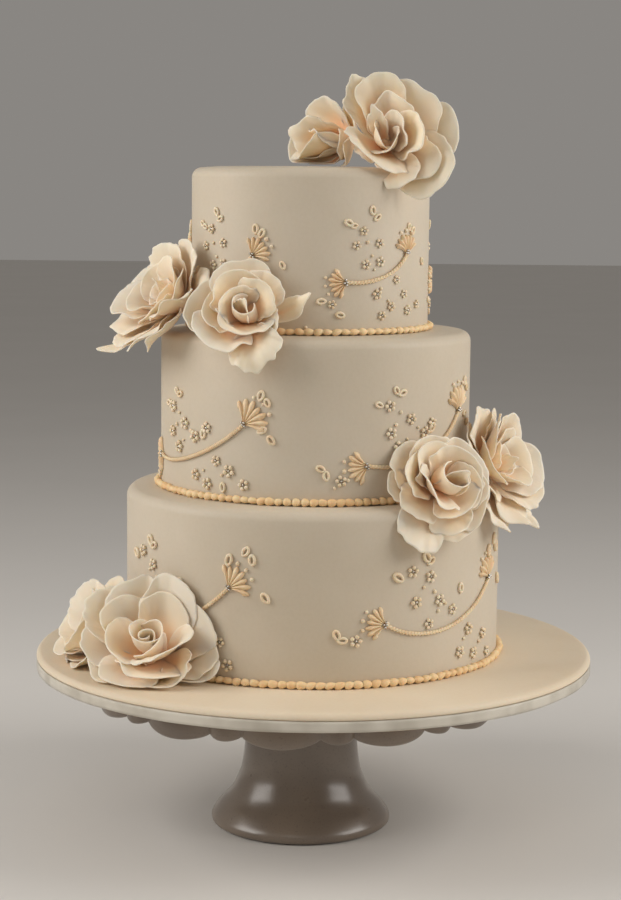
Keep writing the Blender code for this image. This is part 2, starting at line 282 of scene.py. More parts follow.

# %% [markdown]
# ### Satin, glaze and silver
#
# Satin ribbon is woven so that long threads lie on top: a fine ribbing runs across it, and its gloss drifts where it
# was handled. The stand is stoneware under a clear glaze, with faint specks, as glossy as glass; its dark warm grey
# holds painted shade from the board above as well as the ware's own tone. The small beads are sugar with a skin of
# silver.

# %% Weave the ribbon, glaze the stand, plate the beads
def satin():
    """Cool white satin with fine threads round the ribbon's height, and painted shade along its creases."""
    finish = Finish("white satin ribbon", Sheen_Weight=0.35, Sheen_Roughness=0.4, Anisotropic=0.6,
                    Specular_IOR_Level=0.6)
    stretch = finish.add("ShaderNodeMapping", {}, {"Vector": finish.place, "Scale": (1.0, 1.0, 60.0)})
    threads = finish.noise(90, 2, stretch)
    creases_and_painted_shade = finish.noise(38, 2)
    # The darker tone along the creases is painted shade; the creases also bend the normal and vary the gloss.
    colour = finish.mix(creases_and_painted_shade.ramp(0.35, 0.7), screen(216, 209, 195), screen(188, 180, 165))
    weave = finish.bump(threads, 0.0003, 0.6, finish.bump(creases_and_painted_shade, 0.0012, 0.5))
    return finish.feed(Base_Color=colour, Roughness=0.3 + creases_and_painted_shade * 0.25, Normal=weave)


def stoneware():
    """Stoneware under a clear glaze, its dark warm grey holding painted shade from the board above, with faint specks
    and a soft unevenness.
    """
    finish = Finish("glazed stoneware", Coat_Weight=0.5, Coat_Roughness=0.22, Specular_IOR_Level=0.5)
    specks = 1 - finish.noise(700, 2).ramp(0.3, 0.42)
    # The body's dark warm grey is partly the ware's own tone and partly painted shade from the board above the stand.
    body = finish.mix(finish.noise(14, 3).ramp(0.3, 0.7), screen(130, 116, 102), screen(115, 102, 90))
    colour = finish.mix(specks * 0.25, body, screen(74, 62, 52))
    pooled = finish.bump(finish.noise(24, 2), 0.0012, 0.35)
    return finish.feed(Base_Color=colour, Roughness=0.24 + finish.noise(90, 2) * 0.12, Normal=pooled)


def silver_skin():
    """Silver leaf on sugar beads, slightly dulled in places."""
    finish = Finish("silver dragee", Metallic=1.0)
    dulled = finish.noise(800, 2)
    colour = finish.mix(dulled.ramp(0.4, 0.7), screen(214, 210, 204), screen(176, 168, 158))
    return finish.feed(Base_Color=colour, Roughness=0.16 + dulled * 0.16, Normal=finish.bump(dulled, 0.0001, 0.4))


ribbon_satin, stand_glaze, dragee_silver = satin(), stoneware(), silver_skin()
print("satin, glaze and silver")

# %% [markdown]
# ## Making meshes
#
# Most pieces here are skins of points laid out in rows: a turned tier, a lobed skirt, a petal. One helper turns rows
# of points into a mesh object. Every piece stays at the origin with its place in its points, as the plain model's
# pieces do, so that a pattern on Object coordinates runs on without a break from one piece to the next.

# %% Skins of points
def add_piece(name, points, faces, material, values=None):
    """An object from points and faces, smooth, with any named values on its points."""
    mesh = bpy.data.meshes.new(name)
    mesh.from_pydata([tuple(p) for p in points], [], [tuple(f) for f in faces])
    mesh.materials.append(material)
    mesh.shade_smooth()
    for key, numbers in (values or {}).items():
        layer = mesh.attributes.new(key, "FLOAT", "POINT")
        layer.data.foreach_set("value", np.asarray(numbers, np.float32))
    piece = bpy.data.objects.new(name, mesh)
    bpy.context.scene.collection.objects.link(piece)
    return piece


def row_faces(rows, columns, wrap_rows=False, wrap_columns=True):
    """Quads between rows of points that are numbered row by row."""
    faces = []
    for row in range(rows if wrap_rows else rows - 1):
        for column in range(columns if wrap_columns else columns - 1):
            here, below = row * columns, (row + 1) % rows * columns
            beside = (column + 1) % columns
            faces.append((here + column, here + beside, below + beside, below + column))
    return faces


def turned(name, profile, material, around=192, centre=(0, 0), wobble=0.0, closed=False):
    """A shape turned on an upright axis from (radius, height) pairs, outside from bottom to top."""
    turn = np.linspace(0, 2 * math.pi, around, endpoint=False)
    uneven = 1 + wobble * (np.sin(2 * turn + 0.7) + 0.6 * np.sin(3 * turn + 2.1) + 0.4 * np.sin(5 * turn))
    points = []
    for radius, height in profile:
        reach = radius * uneven
        ring = np.stack([centre[0] + reach * np.sin(turn), centre[1] - reach * np.cos(turn), height + 0 * turn], 1)
        points.extend(ring)
    faces = row_faces(len(profile), around, wrap_rows=closed)
    if not closed:
        faces.append(tuple(range(around))[::-1])
        faces.append(tuple(range(len(points) - around, len(points))))
    return add_piece(name, points, faces, material)


def arc(centre, radius, start, end, steps):
    """(radius, height) pairs along an arc, its angles in degrees from straight out."""
    angles = np.radians(np.linspace(start, end, steps))
    return [(centre[0] + radius * math.cos(a), centre[1] + radius * math.sin(a)) for a in angles]


def dress(piece, slot, *nodes):
    """Fixes a finished piece to the cake's one body, in the place of its plain nodes."""
    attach(piece, "root")
    if nodes:
        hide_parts(*nodes)
    print(piece.name, len(piece.data.polygons), "faces")
    return piece


print("helpers for meshes are ready")

# %% [markdown]
# ## The tiers
#
# Each tier is a plain drum with a rounded upper edge. It could be a cylinder with a Bevel modifier, but a turned
# profile also gives the shoulder that falls away a little, where the icing was drawn over the edge, and lets the wall
# stray from a perfect circle by a few tenths of a millimetre, as a hand-smoothed wall does.

# %% Turn the tiers
TIER_NAMES = ("bottom", "middle", "top")
EDGE_ROUNDING = 7.5 * MM
SHOULDER_WIDTH = 14 * MM
SHOULDER_FALL = 1 * MM
WALL_WOBBLE = 0.0007


class Tier:
    """A tier's measures, read from its plain node."""

    def __init__(self, name):
        low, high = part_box("tier_" + name)
        self.name = name
        self.centre = ((low.x + high.x) / 2, (low.y + high.y) / 2)
        self.radius = (high.x - low.x) / 2
        self.foot, self.top = low.z, high.z

    def on_wall(self, along, up, off=0.0):
        """A point on the wall: along its arc from the front, up from its foot and off its face."""
        turn = along / self.radius
        reach = self.radius + off
        return (self.centre[0] + reach * math.sin(turn), self.centre[1] - reach * math.cos(turn), self.foot + up)


def tier_profile(tier):
    """The drum's outline: foot, wall, rounded edge, sloping shoulder, flat middle."""
    wall, edge = tier.radius, tier.top - SHOULDER_FALL
    lifts = np.linspace(tier.foot, edge - EDGE_ROUNDING, 26)
    profile = [(wall - 8 * MM, tier.foot)] + [(wall, lift) for lift in lifts[:-1]]
    profile += arc((wall - EDGE_ROUNDING, edge - EDGE_ROUNDING), EDGE_ROUNDING, 0, 84, 12)
    inner = wall - EDGE_ROUNDING
    slope = [(inner - SHOULDER_WIDTH * s, edge + SHOULDER_FALL * math.sin(s * math.pi / 2)) for s in (0.15, 0.4, 0.7, 1)]
    return profile + slope + [(inner * s, tier.top) for s in (0.7, 0.4, 0.1)]


tiers = {name: Tier(name) for name in TIER_NAMES}
for tier in tiers.values():
    drum = turned("iced_tier_" + tier.name, tier_profile(tier), tier_icing_painted_shade, 256, tier.centre, WALL_WOBBLE)
    dress(drum, "fondant", "tier_" + tier.name)

# %% [markdown]
# ## The board and its ribbon
#
# The board is a thick disc covered with the same paste, pulled down over a soft edge, with a satin ribbon round the
# bare edge below. The ribbon is cut a little unevenly and puckers slightly, so its height and its reach follow slow
# waves, and its ends lap at the back, where a short second layer lies over the first.

# %% Cover the board and wrap the ribbon
BOARD_ROUNDING = 4.2 * MM
board_low, board_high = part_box("board")
ribbon_low, ribbon_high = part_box("board_ribbon")
board_radius = (board_high.x - board_low.x) / 2
RIBBON_THICKNESS = 0.5 * MM


def board_profile():
    """The covered disc, stepped in round its lower edge to seat the ribbon."""
    seat, step = board_radius - RIBBON_THICKNESS - 0.4 * MM, ribbon_high.z + 0.3 * MM
    edge = arc((board_radius - BOARD_ROUNDING, board_high.z - BOARD_ROUNDING), BOARD_ROUNDING, 0, 84, 10)
    shoulder = [(board_radius - BOARD_ROUNDING - s * MM, board_high.z) for s in (4, 12, 30, 60, 120, 200)]
    return [(seat, board_low.z), (seat, step), (board_radius - 0.5 * MM, step + 0.2 * MM)] + edge + shoulder


def ribbon(name, start, end, lift, around):
    """A length of ribbon between two angles in degrees, its face lifted off the board's edge."""
    turn = np.radians(np.linspace(start, end, around))
    rows = []
    for off, up in ((0.05, 0.0), (0.5, 0.0), (0.62, 0.25), (0.66, 0.5), (0.62, 0.75), (0.5, 1.0), (0.05, 1.0)):
        pucker = 0.09 * np.sin(turn * 41) * up + 0.07 * np.sin(turn * 23 + 1) * (1 - up)
        reach = board_radius - 0.6 * MM + (off + lift + pucker * (off > 0.1)) * MM
        sag = (0.16 * np.sin(turn * 7) + 0.1 * np.sin(turn * 19 + 2)) * MM * (1 - up)
        height = ribbon_low.z + 0.2 * MM + (ribbon_high.z - ribbon_low.z - 0.2 * MM) * up + sag * (up < 0.1)
        rows.append(np.stack([reach * np.sin(turn), -reach * np.cos(turn), height], 1))
    points = np.concatenate(rows)
    full = end - start >= 360
    faces = row_faces(len(rows), around, wrap_rows=True, wrap_columns=False)
    if not full:
        ends = [tuple(row * around for row in range(len(rows))), tuple((row + 1) * around - 1 for row in range(len(rows)))]
        faces += [ends[0], ends[1][::-1]]
    return add_piece(name, points, faces, ribbon_satin)


dress(turned("covered_board", board_profile(), board_icing, 256), "board_fondant", "board")
dress(ribbon("satin_ribbon", 176, 535.9, 0.0, 721), "satin_ribbon", "board_ribbon")
dress(ribbon("satin_ribbon_lap", 168, 190, 0.3, 45), "satin_ribbon")

# %% [markdown]
# ## The stand
#
# The stand is one piece of glazed ware: a flared foot, and a plate whose rim hangs down in a skirt of lobes, wide and
# narrow in turn. The foot is turned. The skirt follows a rule, so its rows are worked out: at each angle a lobe
# swells out and hangs down by the same smooth hump, which falls to nothing at the cusp between two lobes.

# %% Shape the lobed skirt
stand_low, stand_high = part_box("stand")
board_underside = board_low.z
STAND_X = -9 * MM
PLATE_RADIUS = 157 * MM
PLATE_THICKNESS = 7 * MM
SKIRT_WALL = 5 * MM
SKIRT_BULGE = 7 * MM
CUSP_DROP = 20.5 * MM
BIG_LOBE_DROP = 27.5 * MM
SMALL_LOBE_DROP = 24 * MM
LOBE_PAIRS = 12
BIG_LOBE_SHARE = 0.7
FIRST_LOBE_ANGLE = -5.2
SKIRT_AROUND = 720


def lobes(angles):
    """Swell of the lobes at these angles, from 0 at a cusp to 1 in the middle, and how far down they hang."""
    share = ((angles - FIRST_LOBE_ANGLE) / 360 * LOBE_PAIRS + BIG_LOBE_SHARE / 2) % 1
    big = share < BIG_LOBE_SHARE
    across = np.where(big, share / BIG_LOBE_SHARE, (share - BIG_LOBE_SHARE) / (1 - BIG_LOBE_SHARE))
    swell = np.sin(math.pi * np.clip(across, 0, 1)) ** 0.6
    return swell, np.where(big, BIG_LOBE_DROP, SMALL_LOBE_DROP)


def skirt_row(inset, bulge_share, drop_share, lift=0.0):
    """One row round the skirt: how far in from the wall, and how much of the bulge and of the drop it carries."""
    angles = np.linspace(0, 360, SKIRT_AROUND, endpoint=False)
    swell, drop = lobes(angles)
    reach = PLATE_RADIUS + SKIRT_BULGE * swell * bulge_share - inset
    fall = (CUSP_DROP + (drop - CUSP_DROP) * swell) * drop_share
    turn = np.radians(angles)
    return np.stack([STAND_X + reach * np.sin(turn), -reach * np.cos(turn), stand_high.z + lift - fall], 1)


def make_plate():
    """The plate and its skirt: up inside the skirt, round its lip, up outside it and in over the top."""
    top, under = -0.2 * MM, -PLATE_THICKNESS
    rows = [skirt_row(PLATE_RADIUS - 30 * MM, 0, 0, under), skirt_row(60 * MM, 0, 0, under)]
    rows.append(skirt_row(SKIRT_WALL + 4 * MM, 0, 0, under))
    for share in (0.32, 0.5, 0.7, 0.88):
        rows.append(skirt_row(SKIRT_WALL, 0.95 * math.sin(share * 2.0), share))
    for round_lip in np.radians((-60, -30, 0, 30, 60)):
        inset = SKIRT_WALL / 2 * (1 - math.sin(round_lip)) + 0.2 * MM
        rows.append(skirt_row(inset, 1, 1, (1 - math.cos(round_lip)) * 2.4 * MM))
    for share in (0.9, 0.8, 0.68, 0.56, 0.44, 0.33, 0.23, 0.14):
        rows.append(skirt_row(-0.2 * MM, math.sin(share * 1.9) ** 0.8, share))
    for round_rim in np.radians((25, 50, 75)):
        inset = 3 * MM * (1 - math.cos(round_rim))
        rows.append(skirt_row(inset, 0.12, 0.03, top - 1.5 * MM * (1 - math.sin(round_rim))))
    rows += [skirt_row(inset, 0, 0, top) for inset in (8 * MM, 60 * MM, PLATE_RADIUS - 30 * MM)]
    points = np.concatenate(rows)
    faces = row_faces(len(rows), SKIRT_AROUND)
    faces.append(tuple(range(SKIRT_AROUND))[::-1])
    faces.append(tuple(range(len(points) - SKIRT_AROUND, len(points))))
    return add_piece("stand_plate", points, faces, stand_glaze)


dress(make_plate(), "porcelain", "stand")

# %% [markdown]
# The foot's outline has only the few points that its shape needs. A smooth curve through them gives the flare: each
# stretch follows a cubic whose slope at a point is set by the points before and after it.

# %% Turn the foot
FOOT_OUTLINE = ((62.5, 0), (66.5, 0.2), (69.8, 1.6), (70.7, 4), (69.6, 8), (64.4, 15), (57, 23), (52, 31.4),
                (46.6, 46), (44.3, 72), (47, 98), (54, 112), (66, 121.6), (80, 122.4))


def smooth_through(corners, steps):
    """Points on a smooth curve through the corners, with this many steps from each corner to the next."""
    corners = [Vector(corner) for corner in corners]
    ends = [corners[0] * 2 - corners[1]] + corners + [corners[-1] * 2 - corners[-2]]
    points = []
    for before, start, end, after in zip(ends, ends[1:], ends[2:], ends[3:]):
        for t in (i / steps for i in range(steps)):
            pull = ((end - before) * (t - 2 * t * t + t ** 3) + (after - start) * (t ** 3 - t * t)) * 0.5
            points.append(start * (1 - 3 * t * t + 2 * t ** 3) + end * (3 * t * t - 2 * t ** 3) + pull)
    return points + [corners[-1]]


foot_profile = [(point.x * MM, point.y * MM) for point in smooth_through(FOOT_OUTLINE, 5)]
dress(turned("stand_foot", foot_profile, stand_glaze, 192, (STAND_X, 0)), "porcelain")

# %% [markdown]
# ## Piping: recipes that repeat
#
# What is piped is piped again and again: hundreds of pearls, dots and twists. Placing them one by one would be slow,
# and particles would not survive an export. Geometry Nodes put a copy of one small shape at each point of a line or
# of a wall, and make the copies real at the end. Each recipe is a tree built here, with named sizes. It is used once
# for each piece, its result is kept as a plain mesh, and its modifier is taken off.

# %% A recipe: a Geometry Nodes tree with named inputs
SOCKET_KINDS = {"Shape": "NodeSocketObject", "Finish": "NodeSocketMaterial", "Seed": "NodeSocketInt"}


class Recipe(Nodes):
    """A Geometry Nodes tree that turns a mesh of points or lines into piping."""

    def __init__(self, name, *sizes):
        super().__init__(bpy.data.node_groups.new(name, "GeometryNodeTree"))
        face = self.tree.interface
        face.new_socket("Geometry", in_out="INPUT", socket_type="NodeSocketGeometry")
        for size in sizes + ("Shape", "Finish", "Seed"):
            face.new_socket(size, in_out="INPUT", socket_type=SOCKET_KINDS.get(size, "NodeSocketFloat"))
        face.new_socket("Geometry", in_out="OUTPUT", socket_type="NodeSocketGeometry")
        source = self.tree.nodes.new("NodeGroupInput")
        self.input = {socket.name: Value(self, socket) for socket in source.outputs if socket.name}

    def vector(self, name):
        """A vector that each point of the source mesh carries."""
        return self.add("GeometryNodeInputNamedAttribute", {"data_type": "FLOAT_VECTOR"}, {"Name": name})

    def number(self, name):
        """A number that each point of the source mesh carries."""
        return self.add("GeometryNodeInputNamedAttribute", {"data_type": "FLOAT"}, {"Name": name})

    def aligned(self, rotation, axis, direction, pivot="AUTO"):
        settings = {"axis": axis, "pivot_axis": pivot}
        inputs = {"Vector": direction} if rotation is None else {"Rotation": rotation, "Vector": direction}
        return self.add("FunctionNodeAlignRotationToVector", settings, inputs)

    def spun(self, rotation, angle):
        """The rotation, then a turn about the shape's own upright."""
        spin = self.add("FunctionNodeAxisAngleToRotation", {}, {"Axis": (0, 0, 1), "Angle": angle})
        return self.add("FunctionNodeRotateRotation", {"rotation_space": "LOCAL"}, {"Rotation": rotation, "Rotate By": spin})

    def uneven(self, share, offset):
        """A random factor round 1, different for each copy."""
        inputs = {2: 1 - share, 3: 1 + share, "Seed": self.input["Seed"] + offset}
        return self.add("FunctionNodeRandomValue", {"data_type": "FLOAT"}, inputs, output=1)

    def copies(self, points, rotation, scale):
        """Ends the tree: a copy of the shape at each point, made real, smooth and with its finish."""
        shape = self.add("GeometryNodeObjectInfo", {}, {"Object": self.input["Shape"]}, output="Geometry")
        inputs = {"Points": points, "Instance": shape, "Rotation": rotation, "Scale": scale}
        made = self.add("GeometryNodeInstanceOnPoints", {}, inputs)
        made = self.add("GeometryNodeRealizeInstances", {}, {"Geometry": made})
        made = self.add("GeometryNodeSetShadeSmooth", {}, {"Geometry": made})
        made = self.add("GeometryNodeSetMaterial", {}, {"Geometry": made, "Material": self.input["Finish"]})
        self.tree.links.new(made.socket, self.tree.nodes.new("NodeGroupOutput").inputs["Geometry"])

    def cook(self, piece, **choices):
        """Runs the tree on a piece with these inputs and leaves the result as its plain mesh."""
        modifier = piece.modifiers.new("recipe", "NODES")
        modifier.node_group = self.tree
        for item in self.tree.interface.items_tree:
            if item.in_out == "INPUT" and item.name in choices:
                modifier[item.identifier] = choices[item.name]
        graph = bpy.context.evaluated_depsgraph_get()
        mesh = bpy.data.meshes.new_from_object(piece.evaluated_get(graph))
        piece.modifiers.clear()
        piece.data = mesh
        return piece


print("recipes can be written")

# %% [markdown]
# ### The string and the stud
#
# Two recipes cover all the piping. The string lays its shape along a line at an even spacing, turned along the line
# and then slanted: with round drops it is a row of pearls, and with slim slanted ones a twisted rope. The stud puts
# its shape on scattered points of a wall, facing outwards and spun by the angle that the point carries.

# %% Write the two recipes
def string_recipe():
    recipe = Recipe("string along a line", "Spacing", "Length", "Width", "Height", "Slant", "Sway", "Unevenness")
    line = recipe.add("GeometryNodeMeshToCurve", {}, {"Mesh": recipe.input["Geometry"]})
    inputs = {"Curve": line, "Length": recipe.input["Spacing"]}
    line = recipe.add("GeometryNodeResampleCurve", {"mode": "LENGTH"}, inputs)
    along = recipe.aligned(None, "X", recipe.add("GeometryNodeInputTangent"))
    slant = recipe.input["Slant"] + recipe.input["Sway"] * (recipe.uneven(1, 3) - 1)
    rotation = recipe.spun(recipe.aligned(along, "Z", recipe.vector("outward"), "X"), slant)
    sides = {}
    for offset, (side, size) in enumerate(zip("XYZ", ("Length", "Width", "Height"))):
        sides[side] = recipe.input[size] * recipe.uneven(recipe.input["Unevenness"], offset)
    recipe.copies(line, rotation, recipe.add("ShaderNodeCombineXYZ", {}, sides))
    return recipe


def stud_recipe():
    recipe = Recipe("studs on a wall", "Unevenness")
    facing = recipe.aligned(None, "Z", recipe.vector("outward"))
    upright = recipe.aligned(facing, "Y", (0, 0, 1), "Z")
    size = recipe.number("size") * recipe.uneven(recipe.input["Unevenness"], 0)
    scale = recipe.add("ShaderNodeCombineXYZ", {}, dict.fromkeys("XYZ", size))
    recipe.copies(recipe.input["Geometry"], recipe.spun(upright, recipe.number("spin")), scale)
    return recipe


string, stud = string_recipe(), stud_recipe()
print(string.tree.name, "and", stud.tree.name)

# %% [markdown]
# ### The shapes that repeat
#
# Each has only a few dozen faces, as hundreds of them are made. A drop is round at its front and drawn out at its
# tail, as piping is when the nozzle is pulled away. A loop is an oval ring, and a flower is five round dots.

# %% Shape a drop, a loop and a dot flower
def drop(around=10, along=7, taper=0.0, flat=1.0, centre=(0, 0, 0), size=1.0):
    """Points and faces of a drop one unit long, narrower towards its tail by the taper."""
    points = []
    for step in range(1, along):
        angle = math.pi * step / along
        x, reach = -math.cos(angle) / 2, math.sin(angle) / 2 * (1 + taper * math.cos(angle))
        for turn in (2 * math.pi * i / around for i in range(around)):
            points.append((x, reach * math.cos(turn), reach * math.sin(turn) * flat))
    faces = [face[::-1] for face in row_faces(along - 1, around)]
    tail, nose = len(points), len(points) + 1
    points += [(-0.5, 0, 0), (0.5, 0, 0)]
    for i in range(around):
        j = (i + 1) % around
        faces += [(tail, j, i), (nose, tail - around + i, tail - around + j)]
    return [tuple(c + size * v for c, v in zip(centre, point)) for point in points], faces


def oval_loop(length=1.0, width=0.68, thread=0.25, around=20, sides=8):
    """Points and faces of an oval ring piped with a round thread, pinched where it starts."""
    points = []
    for turn in (2 * math.pi * i / around for i in range(around)):
        pinch = 1 - 0.3 * max(0, -math.cos(turn)) ** 2
        radial = Vector((math.cos(turn), math.sin(turn) * pinch, 0))
        middle = Vector((math.cos(turn) * (length - thread) / 2, math.sin(turn) * pinch * (width - thread) / 2, thread * 0.3))
        for side in (2 * math.pi * i / sides for i in range(sides)):
            points.append(middle + (radial * math.cos(side) + Vector((0, 0, math.sin(side)))) * thread / 2)
    return points, row_faces(around, sides, wrap_rows=True)


def gathered(*shapes):
    """Several shapes' points and faces as one."""
    points, faces = [], []
    for shape_points, shape_faces in shapes:
        faces += [tuple(corner + len(points) for corner in face) for face in shape_faces]
        points += shape_points
    return points, faces


def dot_flower():
    """Five round dots in a ring, one unit across."""
    turns = [math.radians(90 + 72 * i) for i in range(5)]
    return gathered(*(drop(8, 6, flat=0.8, centre=(0.33 * math.cos(t), 0.33 * math.sin(t), 0.1), size=0.34) for t in turns))


SHAPES = {"drop": drop(12, 8, taper=0.28), "ball": drop(10, 7), "twist": drop(8, 6, taper=0.15),
          "loop": oval_loop(), "flower": dot_flower()}
shapes = {key: add_piece("shape_" + key, *shape, dot_icing) for key, shape in SHAPES.items()}
print({key: len(shape.data.polygons) for key, shape in shapes.items()})

# %% [markdown]
# ### Pearl borders
#
# A row of pearls hides the joint at the foot of each tier. Each is about as tall as it is long and touches the next,
# and no two are quite the same size. The line that carries them is a ring just off the wall.

# %% Pipe the pearls
# tier: from one pearl to the next, and a pearl's height
PEARLS = {"bottom": (6.9 * MM, 5.6 * MM), "middle": (6.5 * MM, 5.5 * MM), "top": (6.85 * MM, 5.1 * MM)}
RING_POINTS = 180


def line_piece(name, points, outward, closed=False):
    """A line of points that carry the way out from the wall."""
    count = len(points)
    edges = [(i, (i + 1) % count) for i in range(count if closed else count - 1)]
    mesh = bpy.data.meshes.new(name)
    mesh.from_pydata([tuple(point) for point in points], edges, [])
    layer = mesh.attributes.new("outward", "FLOAT_VECTOR", "POINT")
    layer.data.foreach_set("vector", np.asarray(outward, np.float32).reshape(-1))
    piece = bpy.data.objects.new(name, mesh)
    bpy.context.scene.collection.objects.link(piece)
    return piece


def way_out(tier, along):
    """The direction straight out from a tier's wall."""
    return (math.sin(along / tier.radius), -math.cos(along / tier.radius), 0)


def make_border(tier, pitch, height, seed):
    """The row of pearls at a tier's foot."""
    round_wall = [2 * math.pi * tier.radius * i / RING_POINTS for i in range(RING_POINTS)]
    ring = [tier.on_wall(along, height * 0.47, height * 0.43 + 0.3 * MM * math.sin(along * 90)) for along in round_wall]
    line = line_piece("piped_pearls_" + tier.name, ring, [way_out(tier, along) for along in round_wall], closed=True)
    choices = {"Spacing": pitch, "Length": pitch * 1.22, "Width": height, "Height": height * 0.98,
               "Slant": math.radians(5), "Sway": math.radians(16), "Unevenness": 0.13, "Seed": seed}
    return string.cook(line, Shape=shapes["drop"], Finish=pearl_icing, **choices)


for seed, (name, (pitch, height)) in enumerate(PEARLS.items()):
    dress(make_border(tiers[name], pitch, height, 10 * seed), "royal_icing", "pearl_border_" + name)

# %% [markdown]
# ### Sprays
#
# A spray is a twisted vine that sags between two fans. The vine's line is a curve pulled by two handles, laid flat and
# then wrapped on the wall. A fan could be cut from a scalloped disc, but the real one is seven tapered ribs laid side
# by side, so its relief is worked out: high along each rib, low between two, thick in the middle and thin at its edge.

# %% Lay out the sprays
# tier: radii of the left and right fans, the two handles of the vine's curve as shares of its run and in mm upwards
SPRAY_SHAPES = {"bottom": (16 * MM, 18 * MM, 0.22, -16, 0.67, -12), "middle": (16 * MM, 20 * MM, 0.25, -6, 0.7, 4),
                "top": (14 * MM, 15 * MM, 0.33, -2, 0.77, 4)}
# tier: left fan's angle, its height above the tier's foot, run and rise to the right fan in mm,
# then the headings that the left and right fans open towards
SPRAYS = {"bottom": ((21.6, 45, 111, 21, 168, 105), (111, 44, 108, 22, 180, 60), (202, 46, 112, 20, 172, 80),
                     (292.5, 45, 108, 25, 178, 45)),
          "middle": ((18.8, 29, 92, 34, 192, 90), (107, 28, 96, 33, 185, 60), (196, 28, 94, 33, 190, 75),
                     (286.1, 26, 100, 31, 186, 45)),
          "top": ((17.3, 38.7, 54, 20, 190, 92), (92, 38, 55, 19, 186, 70), (163, 38, 54, 20, 190, 85),
                  (232, 38, 55, 20, 184, 65), (299, 37.5, 53, 19, 188, 48))}
SPRAY_OFF_WALL = 0.3 * MM
VINE_PITCH = 2.7 * MM
VINE_TWIST = {"Length": 5.2 * MM, "Width": 2.4 * MM, "Height": 2.8 * MM, "Slant": math.radians(31),
              "Sway": math.radians(4), "Unevenness": 0.08}
FAN_SPREAD = 132
FAN_RIBS = 7
FAN_COLUMNS = 57
FAN_ROWS = 12


def vine_line(run, rise, handles, steps=48):
    """Points along and up the wall from the left fan to the right one."""
    first_share, first_lift, second_share, second_lift = handles
    corners = np.array([(0, 0), (run * first_share, first_lift * MM), (run * second_share, second_lift * MM), (run, rise)])
    t = np.linspace(0, 1, steps)[:, None]
    weights = ((1 - t) ** 3, 3 * t * (1 - t) ** 2, 3 * t * t * (1 - t), t ** 3)
    return sum(weight * corner for weight, corner in zip(weights, corners))


def make_fan(tier, along, up, heading, radius):
    """Points and faces of one fan, ribbed on its face and flat on its back."""
    u, reach = np.meshgrid(np.linspace(0, 1, FAN_COLUMNS), np.linspace(0.06, 1, FAN_ROWS))
    rib = np.abs(np.sin(math.pi * FAN_RIBS * u)) ** 0.85
    turn = np.radians(heading + FAN_SPREAD * (u - 0.5) * (0.72 + 0.28 * reach))
    hand = 0.05 * np.sin(4.1 * np.floor(FAN_RIBS * u * 0.999) + along * 900)  # no two ribs are piped alike
    far = radius * reach * (1 - (0.26 - 0.26 * rib) * reach ** 3 - 0.1 * np.abs(u - 0.5) * reach + hand * reach)
    rim = np.clip((1 - reach) / 0.16, 0, 1) ** 0.5
    relief = (0.3 + (0.1 + 2.4 * rib) * np.clip(reach * 2.2, 0.35, 1)) * (0.25 + 0.75 * rim) * MM
    flat = np.stack([along + far * np.cos(turn), up + far * np.sin(turn)], -1).reshape(-1, 2)
    face = [tier.on_wall(x, y, SPRAY_OFF_WALL + off) for (x, y), off in zip(flat, relief.reshape(-1))]
    back = [tier.on_wall(x, y, 0.1 * MM) for x, y in flat]
    quads = row_faces(FAN_ROWS, FAN_COLUMNS, wrap_columns=False)
    count = FAN_ROWS * FAN_COLUMNS
    faces = [quad[::-1] for quad in quads] + [tuple(corner + count for corner in quad) for quad in quads]
    outline = [row * FAN_COLUMNS for row in range(FAN_ROWS)] + list(range(count - FAN_COLUMNS + 1, count))
    outline += [row * FAN_COLUMNS - 1 for row in range(FAN_ROWS - 1, 0, -1)] + list(range(FAN_COLUMNS - 2, 0, -1))
    for here, there in zip(outline, outline[1:] + outline[:1]):
        faces.append((there, here, here + count, there + count))
    return face + back, faces


def join(name, *pieces):
    """Several mesh objects as one."""
    with bpy.context.temp_override(active_object=pieces[0], selected_editable_objects=list(pieces)):
        bpy.ops.object.join()
    pieces[0].name = name
    return pieces[0]


def make_spray(name, tier, number, angle, lift, run, rise, headings):
    """A vine with a fan at each end."""
    left_radius, right_radius, *handles = SPRAY_SHAPES[tier.name]
    start, run, lift, rise = math.radians(angle) * tier.radius, run * MM, lift * MM, rise * MM
    line = vine_line(run, rise, handles)
    points = [tier.on_wall(start + along, lift + up, 1.2 * MM) for along, up in line]
    outward = [way_out(tier, start + along) for along, _ in line]
    vine = line_piece(name, points, outward)
    string.cook(vine, Spacing=VINE_PITCH, Shape=shapes["twist"], Finish=spray_icing, Seed=number, **VINE_TWIST)
    fans = gathered(make_fan(tier, start, lift, headings[0], left_radius),
                    make_fan(tier, start + run, lift + rise, headings[1], right_radius))
    return join(name, add_piece(name + "_fans", *fans, spray_icing), vine)


for tier in tiers.values():
    for number, (angle, lift, run, rise, *headings) in enumerate(SPRAYS[tier.name], 1):
        name = f"spray_{tier.name}_{number}"
        dress(make_spray("piped_" + name, tier, number, angle, lift, run, rise, headings), "royal_icing", name)

# %% [markdown]
# ### Flowers, loops, dots and silver beads
#
# Round each spray lie small motifs: five-dot flowers with a silver bead in the middle, oval loops in pairs like a
# butterfly's wings, and single dots. Each tier has one layout, measured from its sprays' right fans in millimetres,
# and every spray repeats it a little differently, as the hand does.

# %% Lay out the motifs of each tier
FLOWERS = {
    "bottom": ((-134, -32), (-89, 17), (-74, 10), (-86, -7), (-65, -6), (-52, -14), (-73, -22), (-31, -32), (-42, -49),
               (-23, -53), (-7, -40), (1, -57)),
    "middle": ((-75, 9), (-58, -2), (-35, -4), (-75, -11), (-44, -13), (-67, -23), (-24, -30), (-11, -33), (-46, -41),
               (-31, -45), (1, -44), (-112, -45)),
    "top": ((-41, 19), (-46, 6), (-28, 9), (-39, -7), (-27, -4), (-12, -20), (-30, -29), (-2, -28), (-17, -38),
            (-26, -43), (2, -42), (14, -38), (-64, -37)),
}
